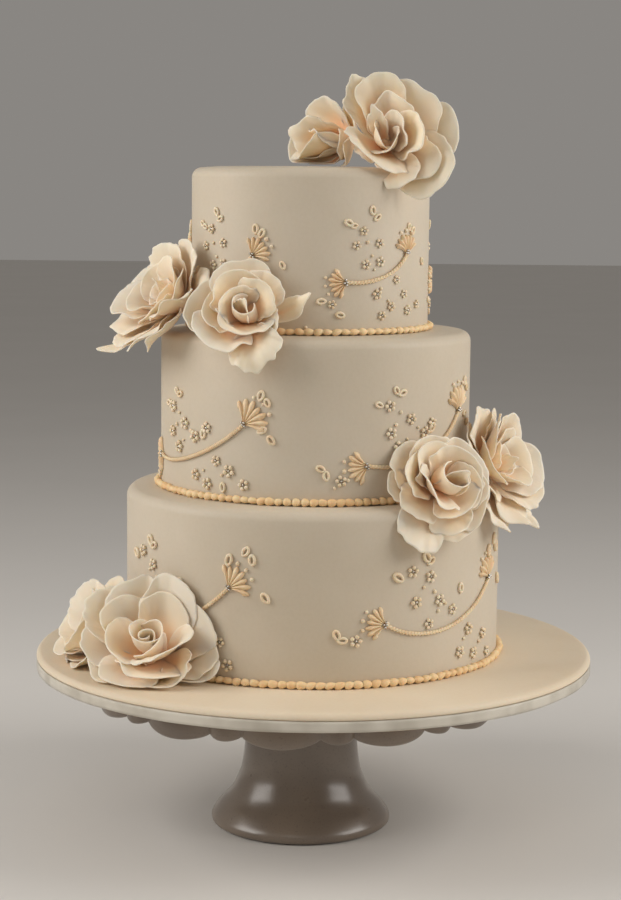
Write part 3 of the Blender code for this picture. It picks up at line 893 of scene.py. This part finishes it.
# along, up, and the way that the loop's long side points, in degrees
LOOPS = {
    "bottom": ((-78, 26, 120), (-74, 23, 30), (-102, 13, 150), (-42, -1, 95), (1, 21, 80), (-148, -27, 110),
               (-144, -31, 10), (14, 28, 60), (19, 22, 100), (29, -5, 125)),
    "middle": ((-70, 20, 130), (-65, 18, 20), (-84, 10, 165), (-36, -9, 75), (-127, -36, 150), (-123, -41, 100),
               (14, 22, 70), (19, 17, 130), (22, -10, 140), (15, -3, 20), (-17, -47, 90)),
    "top": ((-34, 32, 115), (-30, 27, 25), (-53, 23, 150), (-49, 21, 170), (3, 20, 95), (8, 17, 70), (24, -6, 120),
            (-73, -34, 165), (-59, -44, 170)),
}
DOTS = {
    "bottom": ((-80, 4), (-70, 0), (-59, -10), (-66, -15), (-37, -40), (-15, -46), (-110, -20)),
    "middle": ((-66, 4), (-70, -5), (-50, -8), (-60, -16), (-36, -36), (-18, -38), (-117, -50)),
    "top": ((-38, 9), (-34, -1), (-32, -11), (-26, -25), (-19, -34), (-84, -53)),
}
MOTIF_SIZES = {"bottom": 9.0 * MM, "middle": 9.4 * MM, "top": 7.6 * MM}
LOOP_SIZES = {"bottom": 9.6 * MM, "middle": 8.4 * MM, "top": 7.6 * MM}
DOT_SIZE = 2.6 * MM
BEAD_SIZE = 1.8 * MM
HAND_SWAY = 1.1 * MM


class Studs:
    """Points on the walls that will each carry a motif."""

    def __init__(self):
        self.points, self.outward, self.spin, self.size = [], [], [], []

    def put(self, tier, along, up, off, spin, size):
        self.points.append(tier.on_wall(along, up, off))
        self.outward.append(way_out(tier, along))
        self.spin.append(math.radians(spin))
        self.size.append(size)

    def cook(self, name, shape, finish, unevenness, seed):
        piece = line_piece(name, self.points, self.outward)
        for key, numbers in (("spin", self.spin), ("size", self.size)):
            piece.data.attributes.new(key, "FLOAT", "POINT").data.foreach_set("value", np.float32(numbers))
        choices = {"Unevenness": unevenness, "Seed": seed}
        return stud.cook(piece, Shape=shapes[shape], Finish=finish, **choices)


hand = np.random.default_rng(7)
flowers, loops, dots, beads = Studs(), Studs(), Studs(), Studs()
for tier in tiers.values():
    fan_radii = SPRAY_SHAPES[tier.name][:2]
    for number, (angle, lift, run, rise, left_heading, right_heading) in enumerate(SPRAYS[tier.name], 1):
        left = math.radians(angle) * tier.radius
        along, up = left + run * MM, (lift + rise) * MM
        for x, y in FLOWERS[tier.name]:
            x, y = along + x * MM + hand.normal(0, HAND_SWAY), up + y * MM + hand.normal(0, HAND_SWAY)
            flowers.put(tier, x, y, 0.3 * MM, hand.uniform(0, 72), MOTIF_SIZES[tier.name])
            beads.put(tier, x, y, 1.0 * MM, 0, BEAD_SIZE)
        for x, y, spin in LOOPS[tier.name]:
            loops.put(tier, along + x * MM, up + y * MM, 0.2 * MM, spin + hand.normal(0, 8), LOOP_SIZES[tier.name])
        for x, y in DOTS[tier.name]:
            dots.put(tier, along + x * MM, up + y * MM, 0.6 * MM, 0, DOT_SIZE)
        fans = ((left, lift * MM, left_heading, fan_radii[0]), (along, up, right_heading, fan_radii[1]))
        for x, y, heading, radius in fans:
            facing = np.array((math.cos(math.radians(heading)), math.sin(math.radians(heading))))
            across = np.array((-facing[1], facing[0]))
            for aside, ahead in ((-1.9, 1.2), (0, 0.6), (1.9, 1.2), (0.2, 2.6)):
                spot = np.array((x, y)) + (across * aside + facing * ahead) * MM
                beads.put(tier, spot[0], spot[1], 2.3 * MM, 0, BEAD_SIZE * 1.1)
            for aside in (-22, 0, 22):
                turn = math.radians(heading + aside)
                spot = (x + (radius + 2.4 * MM) * math.cos(turn), y + (radius + 2.4 * MM) * math.sin(turn))
                dots.put(tier, spot[0], spot[1], 0.7 * MM, 0, DOT_SIZE * 1.1)
print(len(flowers.points), "flowers,", len(loops.points), "loops,", len(beads.points), "silver beads")

# %% Pipe the motifs and set the silver beads
dress(flowers.cook("piped_flowers", "flower", dot_icing, 0.1, 3), "royal_icing")
dress(loops.cook("piped_loops", "loop", dot_icing, 0.14, 4), "royal_icing")
dress(dots.cook("piped_dots", "ball", dot_icing, 0.18, 5), "royal_icing")
dress(beads.cook("silver_beads", "ball", dragee_silver, 0.08, 6), "silver_dragee")
for shape in shapes.values():
    bpy.data.objects.remove(shape)

# %% [markdown]
# ## Sugar roses
#
# A sugar rose is wired petal by petal. Each petal is cut flat from thin paste, thinned at its rim with a ball tool so
# that it frills, cupped in the palm and curled back over a stick. The same order works here: a flat blank of points,
# a curl of its rim, then a bend along its spine and a cup across it. Cloth simulation could ruffle the rims, but
# these are stiff dry petals whose folds are listed, so the bend is worked out and stays the same each time.

# %% Cut a flat petal
RIM_STEPS = 64
REACH_STEPS = 17
PETAL_SWEEP = 160  # how far round its middle the blank's outline runs each way, in degrees
WIDEST = 0.58      # how far along its length a petal is widest


def waves(sweep, chance, lowest, highest):
    """A sum of a few waves round the rim, whose phases come from the petal's own dice."""
    return sum(np.sin(pace * sweep + chance.uniform(0, 6.3)) * chance.uniform(0.5, 1) for pace in
               np.linspace(lowest, highest, 4)) / 2.4


def petal_blank(length, width, tip, ragged, chance):
    """Rows of points across and along a flat petal from its base to its rim, and how far out each row lies."""
    sweep = np.radians(np.linspace(-PETAL_SWEEP, PETAL_SWEEP, RIM_STEPS + 1))
    low = np.abs(sweep) > math.pi / 2
    across = np.sign(sweep) * np.abs(np.sin(sweep)) ** np.where(low, 1.15, 0.8) * width / 2
    middle = length * WIDEST
    along = middle + np.where(low, middle, length - middle) * np.cos(sweep)
    along += tip * np.exp(-(sweep / 0.22) ** 2) * (length - middle)
    uneven = 1 + 0.025 * waves(sweep, chance, 2.5, 6) + ragged * 0.03 * waves(sweep, chance, 11, 19)
    reach = 1 - (1 - np.linspace(0.07, 1, REACH_STEPS)) ** 1.25
    outward = reach[:, None] * (1 + (uneven - 1) * reach[:, None] ** 3)
    return outward * across, outward * along, np.repeat(reach[:, None], RIM_STEPS + 1, 1), sweep


# %% [markdown]
# The curl rolls the outer part of the blank round a stick: past the line where the curl starts, a point goes on by
# the arc's sine and drops by one less its cosine. The bend then carries the blank into the flower. Its spine leans
# out from the flower's axis and bows inwards along its length like a bowl, and its sides rise round the spine.

# %% Curl, cup and bend it
SPINE_SAMPLES = 80
CURL_SHARE = 0.3


def curled(across, along, sweep, curl, point, chance):
    """The blank with its rim rolled back: the points in the plane and their height off it."""
    far = np.hypot(across, along) + 1e-9
    zone = far[-1] * CURL_SHARE
    upper = np.clip((2.3 - np.abs(sweep)) / 0.9, 0.05, 1)
    share = (0.8 + 0.35 * waves(sweep, chance, 1, 5)) * upper * (1 - point * np.exp(-(sweep / 0.3) ** 2))
    turn = np.radians(curl) * share + 1e-4
    past = np.clip(far - (far[-1] - zone), 0, None)
    angle = turn * past / zone
    kept = np.minimum(far, far[-1] - zone) + zone / turn * np.sin(angle)
    return across / far * kept, along / far * kept, -zone / turn * (1 - np.cos(angle))


def bent(across, along, height, length, width, lean, bowl, cup, spiral, close):
    """Carries the flat petal into the flower: out along x, across along y, up the flower's axis along z."""
    steps = np.linspace(0, 1.6, SPINE_SAMPLES)
    leans = np.radians(lean + bowl * (0.5 - np.clip(steps, 0, 1)))
    spacing = length * (steps[1] - steps[0])
    out = np.concatenate([[0], np.cumsum((np.sin(leans[1:]) + np.sin(leans[:-1])) / 2 * spacing)])
    up = np.concatenate([[0], np.cumsum((np.cos(leans[1:]) + np.cos(leans[:-1])) / 2 * spacing)])
    where = np.clip(along / length, 0, 1.6)
    lean_here = np.interp(where, steps, leans)
    spine = np.stack([np.interp(where, steps, out), 0 * where, np.interp(where, steps, up)], -1)
    inward = np.stack([-np.cos(lean_here), 0 * where, np.sin(lean_here)], -1)
    sideways = np.array([0.0, 1.0, 0.0])
    bend = math.radians(cup) / (width / 2) * (1 + close * where)
    side, rise = np.zeros_like(across), np.zeros_like(across)
    pieces = 16
    for i in range(pieces):
        part = across * (i + 0.5) / pieces
        angle = bend * part * (1 + spiral * part / width)
        side += np.cos(angle) * across / pieces
        rise += np.sin(angle) * across / pieces
    angle = bend * across * (1 + spiral * across / width)
    normal = np.cos(angle)[..., None] * inward - np.sin(angle)[..., None] * sideways
    return spine + side[..., None] * sideways + rise[..., None] * inward + height[..., None] * normal


def frill(across, along, reach, sweep, ruffle, chance, length):
    """Height of the waves along the rim and of the soft dents that fingers leave."""
    rim = np.clip((reach - 0.5) / 0.5, 0, 1) ** 1.7
    dents = np.sin(across / length * 6 + chance.uniform(0, 6)) * np.sin(along / length * 5 + chance.uniform(0, 6))
    crimp = waves(sweep, chance, 2, 6) + 0.35 * waves(sweep, chance, 8, 13)
    return ruffle * 1.7 * MM * rim * crimp + MM * dents * np.clip(reach * 1.6, 0, 1)


def turned_about(points, axis, degrees):
    """Points turned about an axis through the origin, by the rule of Rodrigues."""
    axis = np.array(axis) / np.linalg.norm(axis)
    cos, sin = math.cos(math.radians(degrees)), math.sin(math.radians(degrees))
    along = (points @ axis)[..., None] * axis
    return points * cos + np.cross(axis, points) * sin + along * (1 - cos)


print("petals can be cut, curled and bent")

# %% [markdown]
# A petal needs two faces and a rim that is thinner than its base. The shell is the bent sheet moved out by half its
# thickness each way along its own normals, joined round the outline. Its points carry their reach from the base, the
# petal's tone and how far across they lie, which the petal finish reads.

# %% Give it thickness
PASTE_AT_BASE = 1.3 * MM
PASTE_AT_RIM = 0.7 * MM


def sheet_normals(sheet):
    """Unit normals of a grid of points, from the differences along its rows and columns."""
    normal = np.cross(np.gradient(sheet, axis=1), np.gradient(sheet, axis=0))
    return normal / np.maximum(np.linalg.norm(normal, axis=2, keepdims=True), 1e-12)


def make_petal(number, turn, lean, length, width, cup, curl=60, tip=0.0, point=0.0, ruffle=1.0, ragged=0.3,
               start=None, spiral=0.0, sway=0.0, bowl=55, close=-0.35, twist=9.0, squash=1.0):
    """The sheet of one petal in the flower's own frame, in metres, and the values that its finish reads."""
    length, width = length * MM, width * MM
    start = start or (2 + 0.03 * lean, 9 - 0.12 * lean)  # petals that lean out more are fixed lower on the cone
    chance = np.random.default_rng(number)
    across, along, reach, sweep = petal_blank(length, width, tip, ragged, chance)
    flat_across, flat_along, height = curled(across, along, sweep, curl, point, chance)
    height = height + frill(flat_across, flat_along, reach, sweep, ruffle, chance, length)
    sheet = bent(flat_across, flat_along, height, length, width, lean, bowl, cup, spiral, close)
    sheet[..., 1] += sway * MM * np.clip(along / length, 0, 1.2) ** 2
    sheet = turned_about(sheet, (math.sin(math.radians(lean)), 0, math.cos(math.radians(lean))), twist)
    sheet = (sheet + np.array([start[0] * MM, 0, start[1] * MM])) * (squash, 1, 1)
    spread = np.sin(sweep)[None, :] + 0 * reach
    return turned_about(sheet, (0, 0, 1), turn), {"reach": reach, "across": spread,
                                                  "tone": np.full(reach.shape, chance.uniform(0, 1))}


def shell_faces(rows, columns):
    """The faces of a shell whose front points come first and whose back points follow, joined round the outline."""
    front = row_faces(rows, columns, wrap_columns=False)
    back = rows * columns
    faces = [(a, b, c, d) for a, b, c, d in front] + [(d + back, c + back, b + back, a + back) for a, b, c, d in front]
    outline = [row * columns for row in range(rows)] + list(range((rows - 1) * columns + 1, rows * columns))
    outline += [row * columns + columns - 1 for row in range(rows - 2, -1, -1)] + list(range(columns - 2, 0, -1))
    for here, there in zip(outline, outline[1:] + outline[:1]):
        faces.append((here, there, there + back, here + back))
    return faces


def thickened(sheet, reach):
    """The points of a shell round a sheet."""
    half = (PASTE_AT_BASE + (PASTE_AT_RIM - PASTE_AT_BASE) * reach[..., None]) / 2
    normal = sheet_normals(sheet)
    return np.concatenate([(sheet + normal * half).reshape(-1, 3), (sheet - normal * half).reshape(-1, 3)])


PETAL_FACES = shell_faces(REACH_STEPS, RIM_STEPS + 1)
print("a petal has", 2 * REACH_STEPS * (RIM_STEPS + 1), "points")

# %% [markdown]
# The petals go round the flower's axis in rings: a rolled bud, a few that hug it, and wider ones that open more and
# more. No two roses are alike, so each has its own list. A row gives a petal's turn round the flower, counted
# anticlockwise from its right as one looks into it, its lean from the axis in degrees, its length and width in
# millimetres, how much it cups and how far its rim curls back, both in degrees, and then any trait of its own.

# %% The roses, petal by petal
def bud(turn, size=1.0, squash=0.62, wound=230):
    """The rolled heart of a rose: one petal wound on itself and two wrapped round it."""
    return ((turn, 2, 27 * size, 40 * size, wound, 8,
             dict(spiral=0.9, ruffle=0.15, start=(1, 4), bowl=22, close=0.4, twist=0, squash=squash)),
            (turn + 115, 8, 29 * size, 40 * size, 125, 30, dict(ruffle=0.3, start=(2, 4), bowl=34, close=0.1)),
            (turn + 235, 12, 28 * size, 40 * size, 115, 40, dict(ruffle=0.4, start=(3, 4), bowl=38, close=0.0)))


def open_heart(turn, size=1.0):
    """A loose heart: a pointed petal and three that stand round it."""
    return ((turn, 6, 33 * size, 20 * size, 60, 25, dict(tip=0.5, point=1, start=(1, 4), bowl=20, twist=-20)),
            (turn + 95, 14, 31 * size, 30 * size, 80, 35, dict(start=(3, 4), bowl=34)),
            (turn + 185, 16, 29 * size, 30 * size, 80, 40, dict(start=(3, 4), bowl=34)),
            (turn + 280, 18, 31 * size, 32 * size, 80, 40, dict(start=(3, 4), bowl=34)))


def cup_heart(turn, size=1.0, wrap=150):
    """A heart that is still a cup: one petal wrapped nearly round, with a pointed one standing in its mouth."""
    return ((turn, 5, 28 * size, 44 * size, wrap, 18,
             dict(spiral=0.25, ruffle=0.3, start=(2, 4), bowl=28, close=0.15, twist=0)),
            (turn + 160, 4, 29 * size, 20 * size, 80, 8,
             dict(tip=0.5, point=1, ruffle=0.3, start=(0, 4), bowl=12, twist=25)))


ROSES = {
    "rose_middle_front": ((-52, -92, 401), (-0.12, -0.86, 0.48), cup_heart(225, 0.98, 140) + (
        (130, 12, 30, 42, 105, 35, dict(start=(3, 4), bowl=38)),
        (285, 26, 31, 50, 95, 65, dict(twist=-18)), (40, 28, 33, 36, 75, 75, dict(ruffle=1.3)),
        (110, 34, 36, 46, 80, 30, {}), (185, 36, 33, 42, 80, 45, {}),
        (95, 60, 43, 50, 60, 45, {}), (168, 64, 42, 50, 60, 45, {}), (228, 54, 40, 52, 60, 65, {}),
        (311, 46, 33, 42, 70, 60, {}),
        (293, 66, 44, 38, 40, 60, dict(ruffle=2.0, ragged=1.0, bowl=0, start=(8, 9))),
        (48, 60, 38, 36, 80, 45, {}), (19, 62, 45, 18, 70, 20, dict(tip=0.8, point=0.3, bowl=75, ruffle=0.5)))),
    "rose_middle_left": ((-102, -39, 409), (-0.74, -0.3, 0.6), open_heart(70, 0.72) + (
        (150, 28, 34, 38, 75, 35, {}), (212, 32, 38, 44, 75, 40, {}), (85, 30, 34, 38, 75, 50, {}),
        (300, 46, 34, 40, 70, 60, {}), (15, 44, 32, 38, 60, 60, {}),
        (118, 36, 46, 44, 60, 45, dict(ragged=0.8)), (212, 42, 50, 48, 55, 45, {}),
        (78, 52, 48, 44, 55, 50, dict(ragged=0.8)), (216, 56, 56, 50, 50, 50, {}), (170, 44, 48, 44, 60, 45, {}),
        (34, 66, 40, 30, 45, 90, dict(bowl=25, ruffle=1.5)),
        (345, 60, 42, 40, 55, 60, dict(tip=0.3, point=0.6, twist=-16)),
        (238, 62, 56, 46, 45, 50, {}), (315, 64, 48, 38, 50, 60, dict(tip=0.3, point=0.6)),
        (241, 68, 60, 24, 70, 40, dict(tip=0.6, point=0.8)), (280, 70, 50, 42, 50, 60, {}))),
    "rose_top_right": ((50, -44, 531), (-0.15, -0.9, 0.3), (
        (110, 24, 36, 15, 70, 15, dict(tip=0.6, point=0.6, start=(0, 4), bowl=15, twist=-20, ruffle=0.5)),
        (190, 6, 27, 30, 110, 30, dict(start=(2, 4))), (310, 14, 29, 34, 95, 40, dict(start=(3, 4))),
        (20, 24, 34, 32, 75, 40, dict(start=(3, 4))), (60, 34, 40, 34, 75, 40, {}),
        (255, 24, 36, 56, 45, 50, dict(ragged=0.8, twist=-22)), (5, 42, 42, 38, 70, 40, {}),
        (94, 44, 52, 40, 95, 25, dict(bowl=35)), (335, 56, 48, 34, 65, 50, {}),
        (118, 50, 50, 30, 60, 60, dict(tip=0.3, point=0.3, ragged=1.2)), (49, 56, 50, 54, 50, 35, {}),
        (290, 50, 44, 34, 60, 60, {}), (4, 62, 55, 50, 50, 40, {}), (322, 70, 59, 50, 50, 45, dict(bowl=35)),
        (205, 60, 20, 22, 60, 50, {}))),
    "rose_top_left": ((27, -25, 533), (-0.93, -0.36, 0.03), (
        (150, 8, 42, 34, 75, 45, dict(tip=0.45, point=-1.4, start=(3, 4), bowl=12)),
        (60, 14, 34, 28, 80, 40, dict(start=(3, 4), bowl=20)), (250, 12, 36, 30, 80, 40, dict(start=(3, 4), bowl=20)),
        (282, 12, 46, 42, 105, 45, dict(tip=0.45, point=-1.4, bowl=18, start=(3, 6))),
        (350, 40, 24, 26, 60, 60, {}), (112, 44, 40, 46, 55, 30, dict(bowl=40)), (200, 30, 44, 40, 60, 40, {}),
        (250, 34, 38, 36, 60, 60, {}), (40, 56, 30, 30, 60, 50, {}), (320, 50, 28, 30, 60, 50, {}))),
    "rose_lower_front": ((88, -101, 279), (0.36, -0.85, 0.4), cup_heart(235, 1.25, 150) + (
        (196, 24, 33, 44, 85, 75, {}), (55, 34, 35, 50, 75, 55, {}), (350, 36, 31, 42, 75, 55, {}),
        (300, 44, 30, 44, 65, 60, {}), (110, 42, 35, 44, 75, 60, {}), (155, 50, 38, 40, 65, 50, {}),
        (8, 52, 34, 46, 50, 45, {}), (268, 56, 34, 38, 70, 60, dict(tip=0.3, point=0.5, twist=22)),
        (45, 56, 39, 52, 50, 40, {}), (100, 58, 39, 48, 55, 45, {}), (200, 60, 38, 34, 60, 70, {}),
        (227, 64, 51, 38, 45, 50, dict(ruffle=1.4)), (131, 66, 41, 46, 50, 45, {}),
        (172, 64, 40, 30, 60, 70, dict(ruffle=1.5)), (330, 66, 36, 46, 50, 50, {}), (295, 66, 36, 46, 50, 50, {}))),
    "rose_lower_right": ((126, -40, 288), (0.86, -0.33, 0.38), open_heart(200, 0.72) + (
        (60, 26, 34, 36, 75, 45, {}), (350, 28, 36, 40, 75, 45, {}), (270, 30, 34, 38, 75, 55, {}),
        (168, 46, 33, 44, 75, 45, {}), (100, 42, 40, 40, 60, 50, dict(ragged=0.8)), (60, 38, 44, 46, 55, 45, {}),
        (338, 42, 48, 48, 55, 40, {}), (312, 50, 50, 44, 55, 45, dict(ragged=0.8)),
        (100, 60, 44, 46, 65, 50, dict(ruffle=1.5, ragged=0.8, twist=-8)), (124, 66, 38, 36, 60, 60, {}),
        (262, 64, 48, 34, 65, 60, dict(tip=0.3, point=0.6)), (243, 70, 50, 34, 65, 60, dict(tip=0.3, point=0.6)),
        (205, 66, 36, 34, 55, 60, {}), (300, 64, 57, 15, 60, 50, dict(tip=0.5, point=-1, ruffle=0.5)),
        (72, 50, 40, 22, 60, 50, dict(tip=0.3, point=-0.6, ruffle=0.8)))),
    "rose_board_front": ((-117, -113, 156), (-0.16, -0.7, 0.68), bud(120, 1.25, 0.7, 200) + (
        (345, 30, 42, 56, 75, 70, dict(twist=-22)), (292, 40, 42, 56, 60, 75, dict(twist=-20)),
        (200, 34, 40, 50, 80, 45, {}), (140, 44, 48, 48, 75, 35, {}), (75, 42, 46, 44, 75, 40, {}),
        (113, 54, 58, 54, 60, 45, {}), (140, 60, 62, 50, 50, 50, dict(ragged=0.8)), (72, 56, 60, 48, 60, 45, {}),
        (38, 60, 56, 46, 60, 50, {}), (10, 62, 50, 50, 60, 50, {}), (342, 70, 48, 46, 50, 55, dict(tip=0.25)),
        (300, 64, 44, 52, 50, 60, {}), (250, 62, 42, 54, 55, 60, {}),
        (205, 64, 46, 50, 60, 50, {}), (167, 64, 54, 48, 60, 50, {}))),
    "rose_board_side": ((-152, -66, 160), (-0.8, -0.22, 0.5), bud(20, 0.85, 0.7, 190) + (
        (145, 42, 44, 46, 65, 35, dict(ragged=0.8, bowl=30)), (235, 44, 42, 44, 70, 60, {}),
        (60, 36, 38, 42, 80, 45, {}), (330, 38, 36, 42, 75, 50, {}), (190, 42, 42, 44, 75, 40, {}),
        (110, 60, 44, 44, 60, 50, {}), (245, 70, 46, 42, 40, 60, dict(bowl=10)), (200, 60, 48, 46, 50, 50, {}),
        (350, 60, 38, 40, 60, 60, {}), (295, 66, 40, 40, 55, 60, {}), (30, 60, 40, 40, 60, 50, {}))),
}

# %% [markdown]
# Petals that are bent one by one would pass through each other. A maker opens each petal until it clears the ones
# inside it, and so does this: it tries small changes of lean, curl and turn, the least first, and stops at the first
# that crosses none of the petals that are already on. A search tree of each shell finds where two of them cross.
# The rows nearest the cone are left out, because all the petals are pressed together there.

# %% Ease each petal clear of those inside it
EASINGS = sorted(((lean, curl, turn) for lean in (0, 3, -3, 6, -6) for curl in (0, -20, 15) for turn in (0, 5, -5)),
                 key=lambda change: abs(change[0]) / 3 + abs(change[1]) / 15 + abs(change[2]) / 5)
PRESSED_ROWS = 5
EASING_COST = 2.5  # how many crossings a step of change must save to be worth making


def shell_tree(sheet, reach):
    """A search tree of both faces of the open part of a petal, at half its fineness."""
    faces = thickened(sheet, reach).reshape(2, *sheet.shape)[:, PRESSED_ROWS::2, ::2]
    rows, columns = faces.shape[1:3]
    front = row_faces(rows, columns, wrap_columns=False)
    back = [tuple(corner + rows * columns for corner in quad) for quad in front]
    return BVHTree.FromPolygons(faces.reshape(-1, 3).tolist(), front + back)


def eased(shape, inner):
    """The sheet, numbers and tree of a petal, eased until it crosses the inner petals the least."""
    best = None
    for effort, (lean, curl, turn) in enumerate(EASINGS):
        sheet, numbers = shape(lean, curl, turn)
        tree = shell_tree(sheet, numbers["reach"])
        steps = abs(lean) / 3 + abs(curl) / 15 + abs(turn) / 5
        score = sum(len(tree.overlap(other)) for other in inner) + EASING_COST * steps
        if best is None or score < best[0]:
            best = (score, sheet, numbers, tree)
        if best[0] <= EASING_COST * steps:
            break
    return best[1:]


print(len(EASINGS), "ways to ease a petal")

# %% [markdown]
# A rose lies against the cake, and its back petals press on the icing. Each sheet is put in its place first. A point
# that would be inside a tier or the board is then moved to just outside it. The move fades in over a few millimetres
# and turns gradually from sideways to upwards near a tier's edge, so a petal bends over it without a crease.

# %% Wire the roses and lay them on the cake
PRESS_GAP = 0.8 * MM
PRESS_STEP = 0.7 * MM  # how much further off the cake each petal lies than the one behind it
PRESS_FADE = 1.5 * MM
EDGE_BLEND = 5 * MM


def pressed(depth):
    """How far to move a point whose depth inside is given: all of it when deep, nothing when well outside."""
    clear = -depth / PRESS_FADE
    return PRESS_FADE * np.logaddexp(0, clear) + depth


def clear_of_cake(points, gap):
    """Moves points that lie inside a tier or the board, or closer to it than the gap, to just outside."""
    for tier in tiers.values():
        aside = points[:, :2] - np.array(tier.centre)
        reach = np.linalg.norm(aside, axis=1)
        beside = reach - tier.radius - gap
        above = points[:, 2] - tier.top - gap
        outside = EDGE_BLEND * np.logaddexp(beside / EDGE_BLEND, above / EDGE_BLEND)
        share_up = np.exp(above / EDGE_BLEND - outside / EDGE_BLEND)
        move = np.where(points[:, 2] > tier.foot - 3 * MM, pressed(-outside), 0)
        points[:, 2] += move * share_up
        points[:, :2] += aside / reach[:, None] * (move * (1 - share_up))[:, None]
    over_board = np.linalg.norm(points[:, :2], axis=1) < board_radius + gap
    low = over_board & (points[:, 2] > board_low.z)
    points[low, 2] += pressed(board_high.z + gap - points[low, 2])
    return points


CONE = ((0.1, -4), (3, -3.5), (4.8, -1), (5, 3), (3.6, 7), (1.8, 10), (0.1, 12))
CONE_AROUND = 24


def paste_cone():
    """The cone of paste that the petals are wrapped on, in the flower's own frame: points and faces."""
    turn = np.linspace(0, 2 * math.pi, CONE_AROUND, endpoint=False)
    rings = [np.stack([radius * np.cos(turn), radius * np.sin(turn), height + 0 * turn], 1) for radius, height in CONE]
    faces = row_faces(len(CONE), CONE_AROUND)
    last = len(CONE) * CONE_AROUND
    return np.concatenate(rings) * MM, faces + [tuple(range(CONE_AROUND))[::-1], tuple(range(last - CONE_AROUND, last))]


def make_rose(name, calyx, facing, petals):
    """All the petals of a rose as one piece, in its place on the cake."""
    turned_to = np.array(Vector(facing).to_track_quat("Z", "Y").to_matrix())
    heart, faces = paste_cone()
    points = [heart @ turned_to.T + np.array(calyx) * MM]
    values = {key: [np.full(len(heart), 0.6)] for key in ("reach", "across", "tone")}
    trees = []
    for number, (turn, lean, length, width, cup, curl, traits) in enumerate(petals):
        gap = PRESS_GAP + PRESS_STEP * (len(petals) - 1 - number)

        def shape(more_lean, more_curl, more_turn):
            sheet, numbers = make_petal(number + len(name), turn + more_turn, lean + more_lean, length, width, cup,
                                        curl + more_curl, **traits)
            placed = sheet.reshape(-1, 3) @ turned_to.T + np.array(calyx) * MM
            return clear_of_cake(placed, gap).reshape(sheet.shape), numbers

        sheet, numbers, tree = eased(shape, trees)
        trees.append(tree)
        first = sum(len(part) for part in points)
        points.append(thickened(sheet, numbers["reach"]))
        faces += [tuple(corner + first for corner in quad) for quad in PETAL_FACES]
        for key in values:
            values[key].append(np.tile(numbers[key].reshape(-1), 2))
    return add_piece("sugar_" + name, np.concatenate(points), faces, petal_paste,
                     {key: np.concatenate(numbers) for key, numbers in values.items()})


for name, (calyx, facing, petals) in ROSES.items():
    dress(make_rose(name, calyx, facing, petals), "sugar_petal", name)

# %% [markdown]
# ## Floor and light
#
# A plain pale floor that runs on behind, and soft light: two large lamps, one on each side and a little forward, so
# that the sides of the tiers are brighter than their middles, a weak one from the front and a pale sky for the rest.

# %% Lay the floor and hang the lamps
LAMPS = (("lamp_left", (-1.5, -0.42, 1.1), 1.15, 19.5), ("lamp_right", (1.5, -0.42, 1.1), 1.15, 19.5),
         ("lamp_front", (-0.5, -2.4, 1.9), 0.8, 3))
LAMP_AIM = Vector((0, 0, 0.3))


def make_floor():
    """A large pale floor with a faint grain."""
    finish = Finish("pale floor", Specular_IOR_Level=0.2)
    colour = finish.mix(finish.noise(3, 3), screen(224, 221, 217), screen(218, 215, 211))
    finish.feed(Base_Color=colour, Roughness=0.8 + finish.noise(40, 1) * 0.1)
    side = 12
    corners = [(-side, -side, 0), (side, -side, 0), (side, side, 0), (-side, side, 0)]
    floor = add_piece("floor", corners, [(0, 1, 2, 3)], finish.material)


def make_lamp(name, place, size, power):
    """A square soft lamp turned to the middle of the cake."""
    data = bpy.data.lights.new(name, "AREA")
    data.size, data.energy = size, power
    data.color = (1.0, 0.97, 0.93)
    lamp = bpy.data.objects.new(name, data)
    bpy.context.scene.collection.objects.link(lamp)
    lamp.location = place
    lamp.rotation_euler = (LAMP_AIM - lamp.location).to_track_quat("-Z", "Y").to_euler()


def make_sky(strength):
    """A pale even sky."""
    sky = bpy.data.worlds.new("sky")
    sky.use_nodes = True
    background = sky.node_tree.nodes["Background"]
    background.inputs["Color"].default_value = screen(215, 210, 204)
    background.inputs["Strength"].default_value = strength
    bpy.context.scene.world = sky


make_floor()
for lamp in LAMPS:
    make_lamp(*lamp)
make_sky(0.37)
bpy.context.scene.view_settings.view_transform = "Standard"
print("lit")
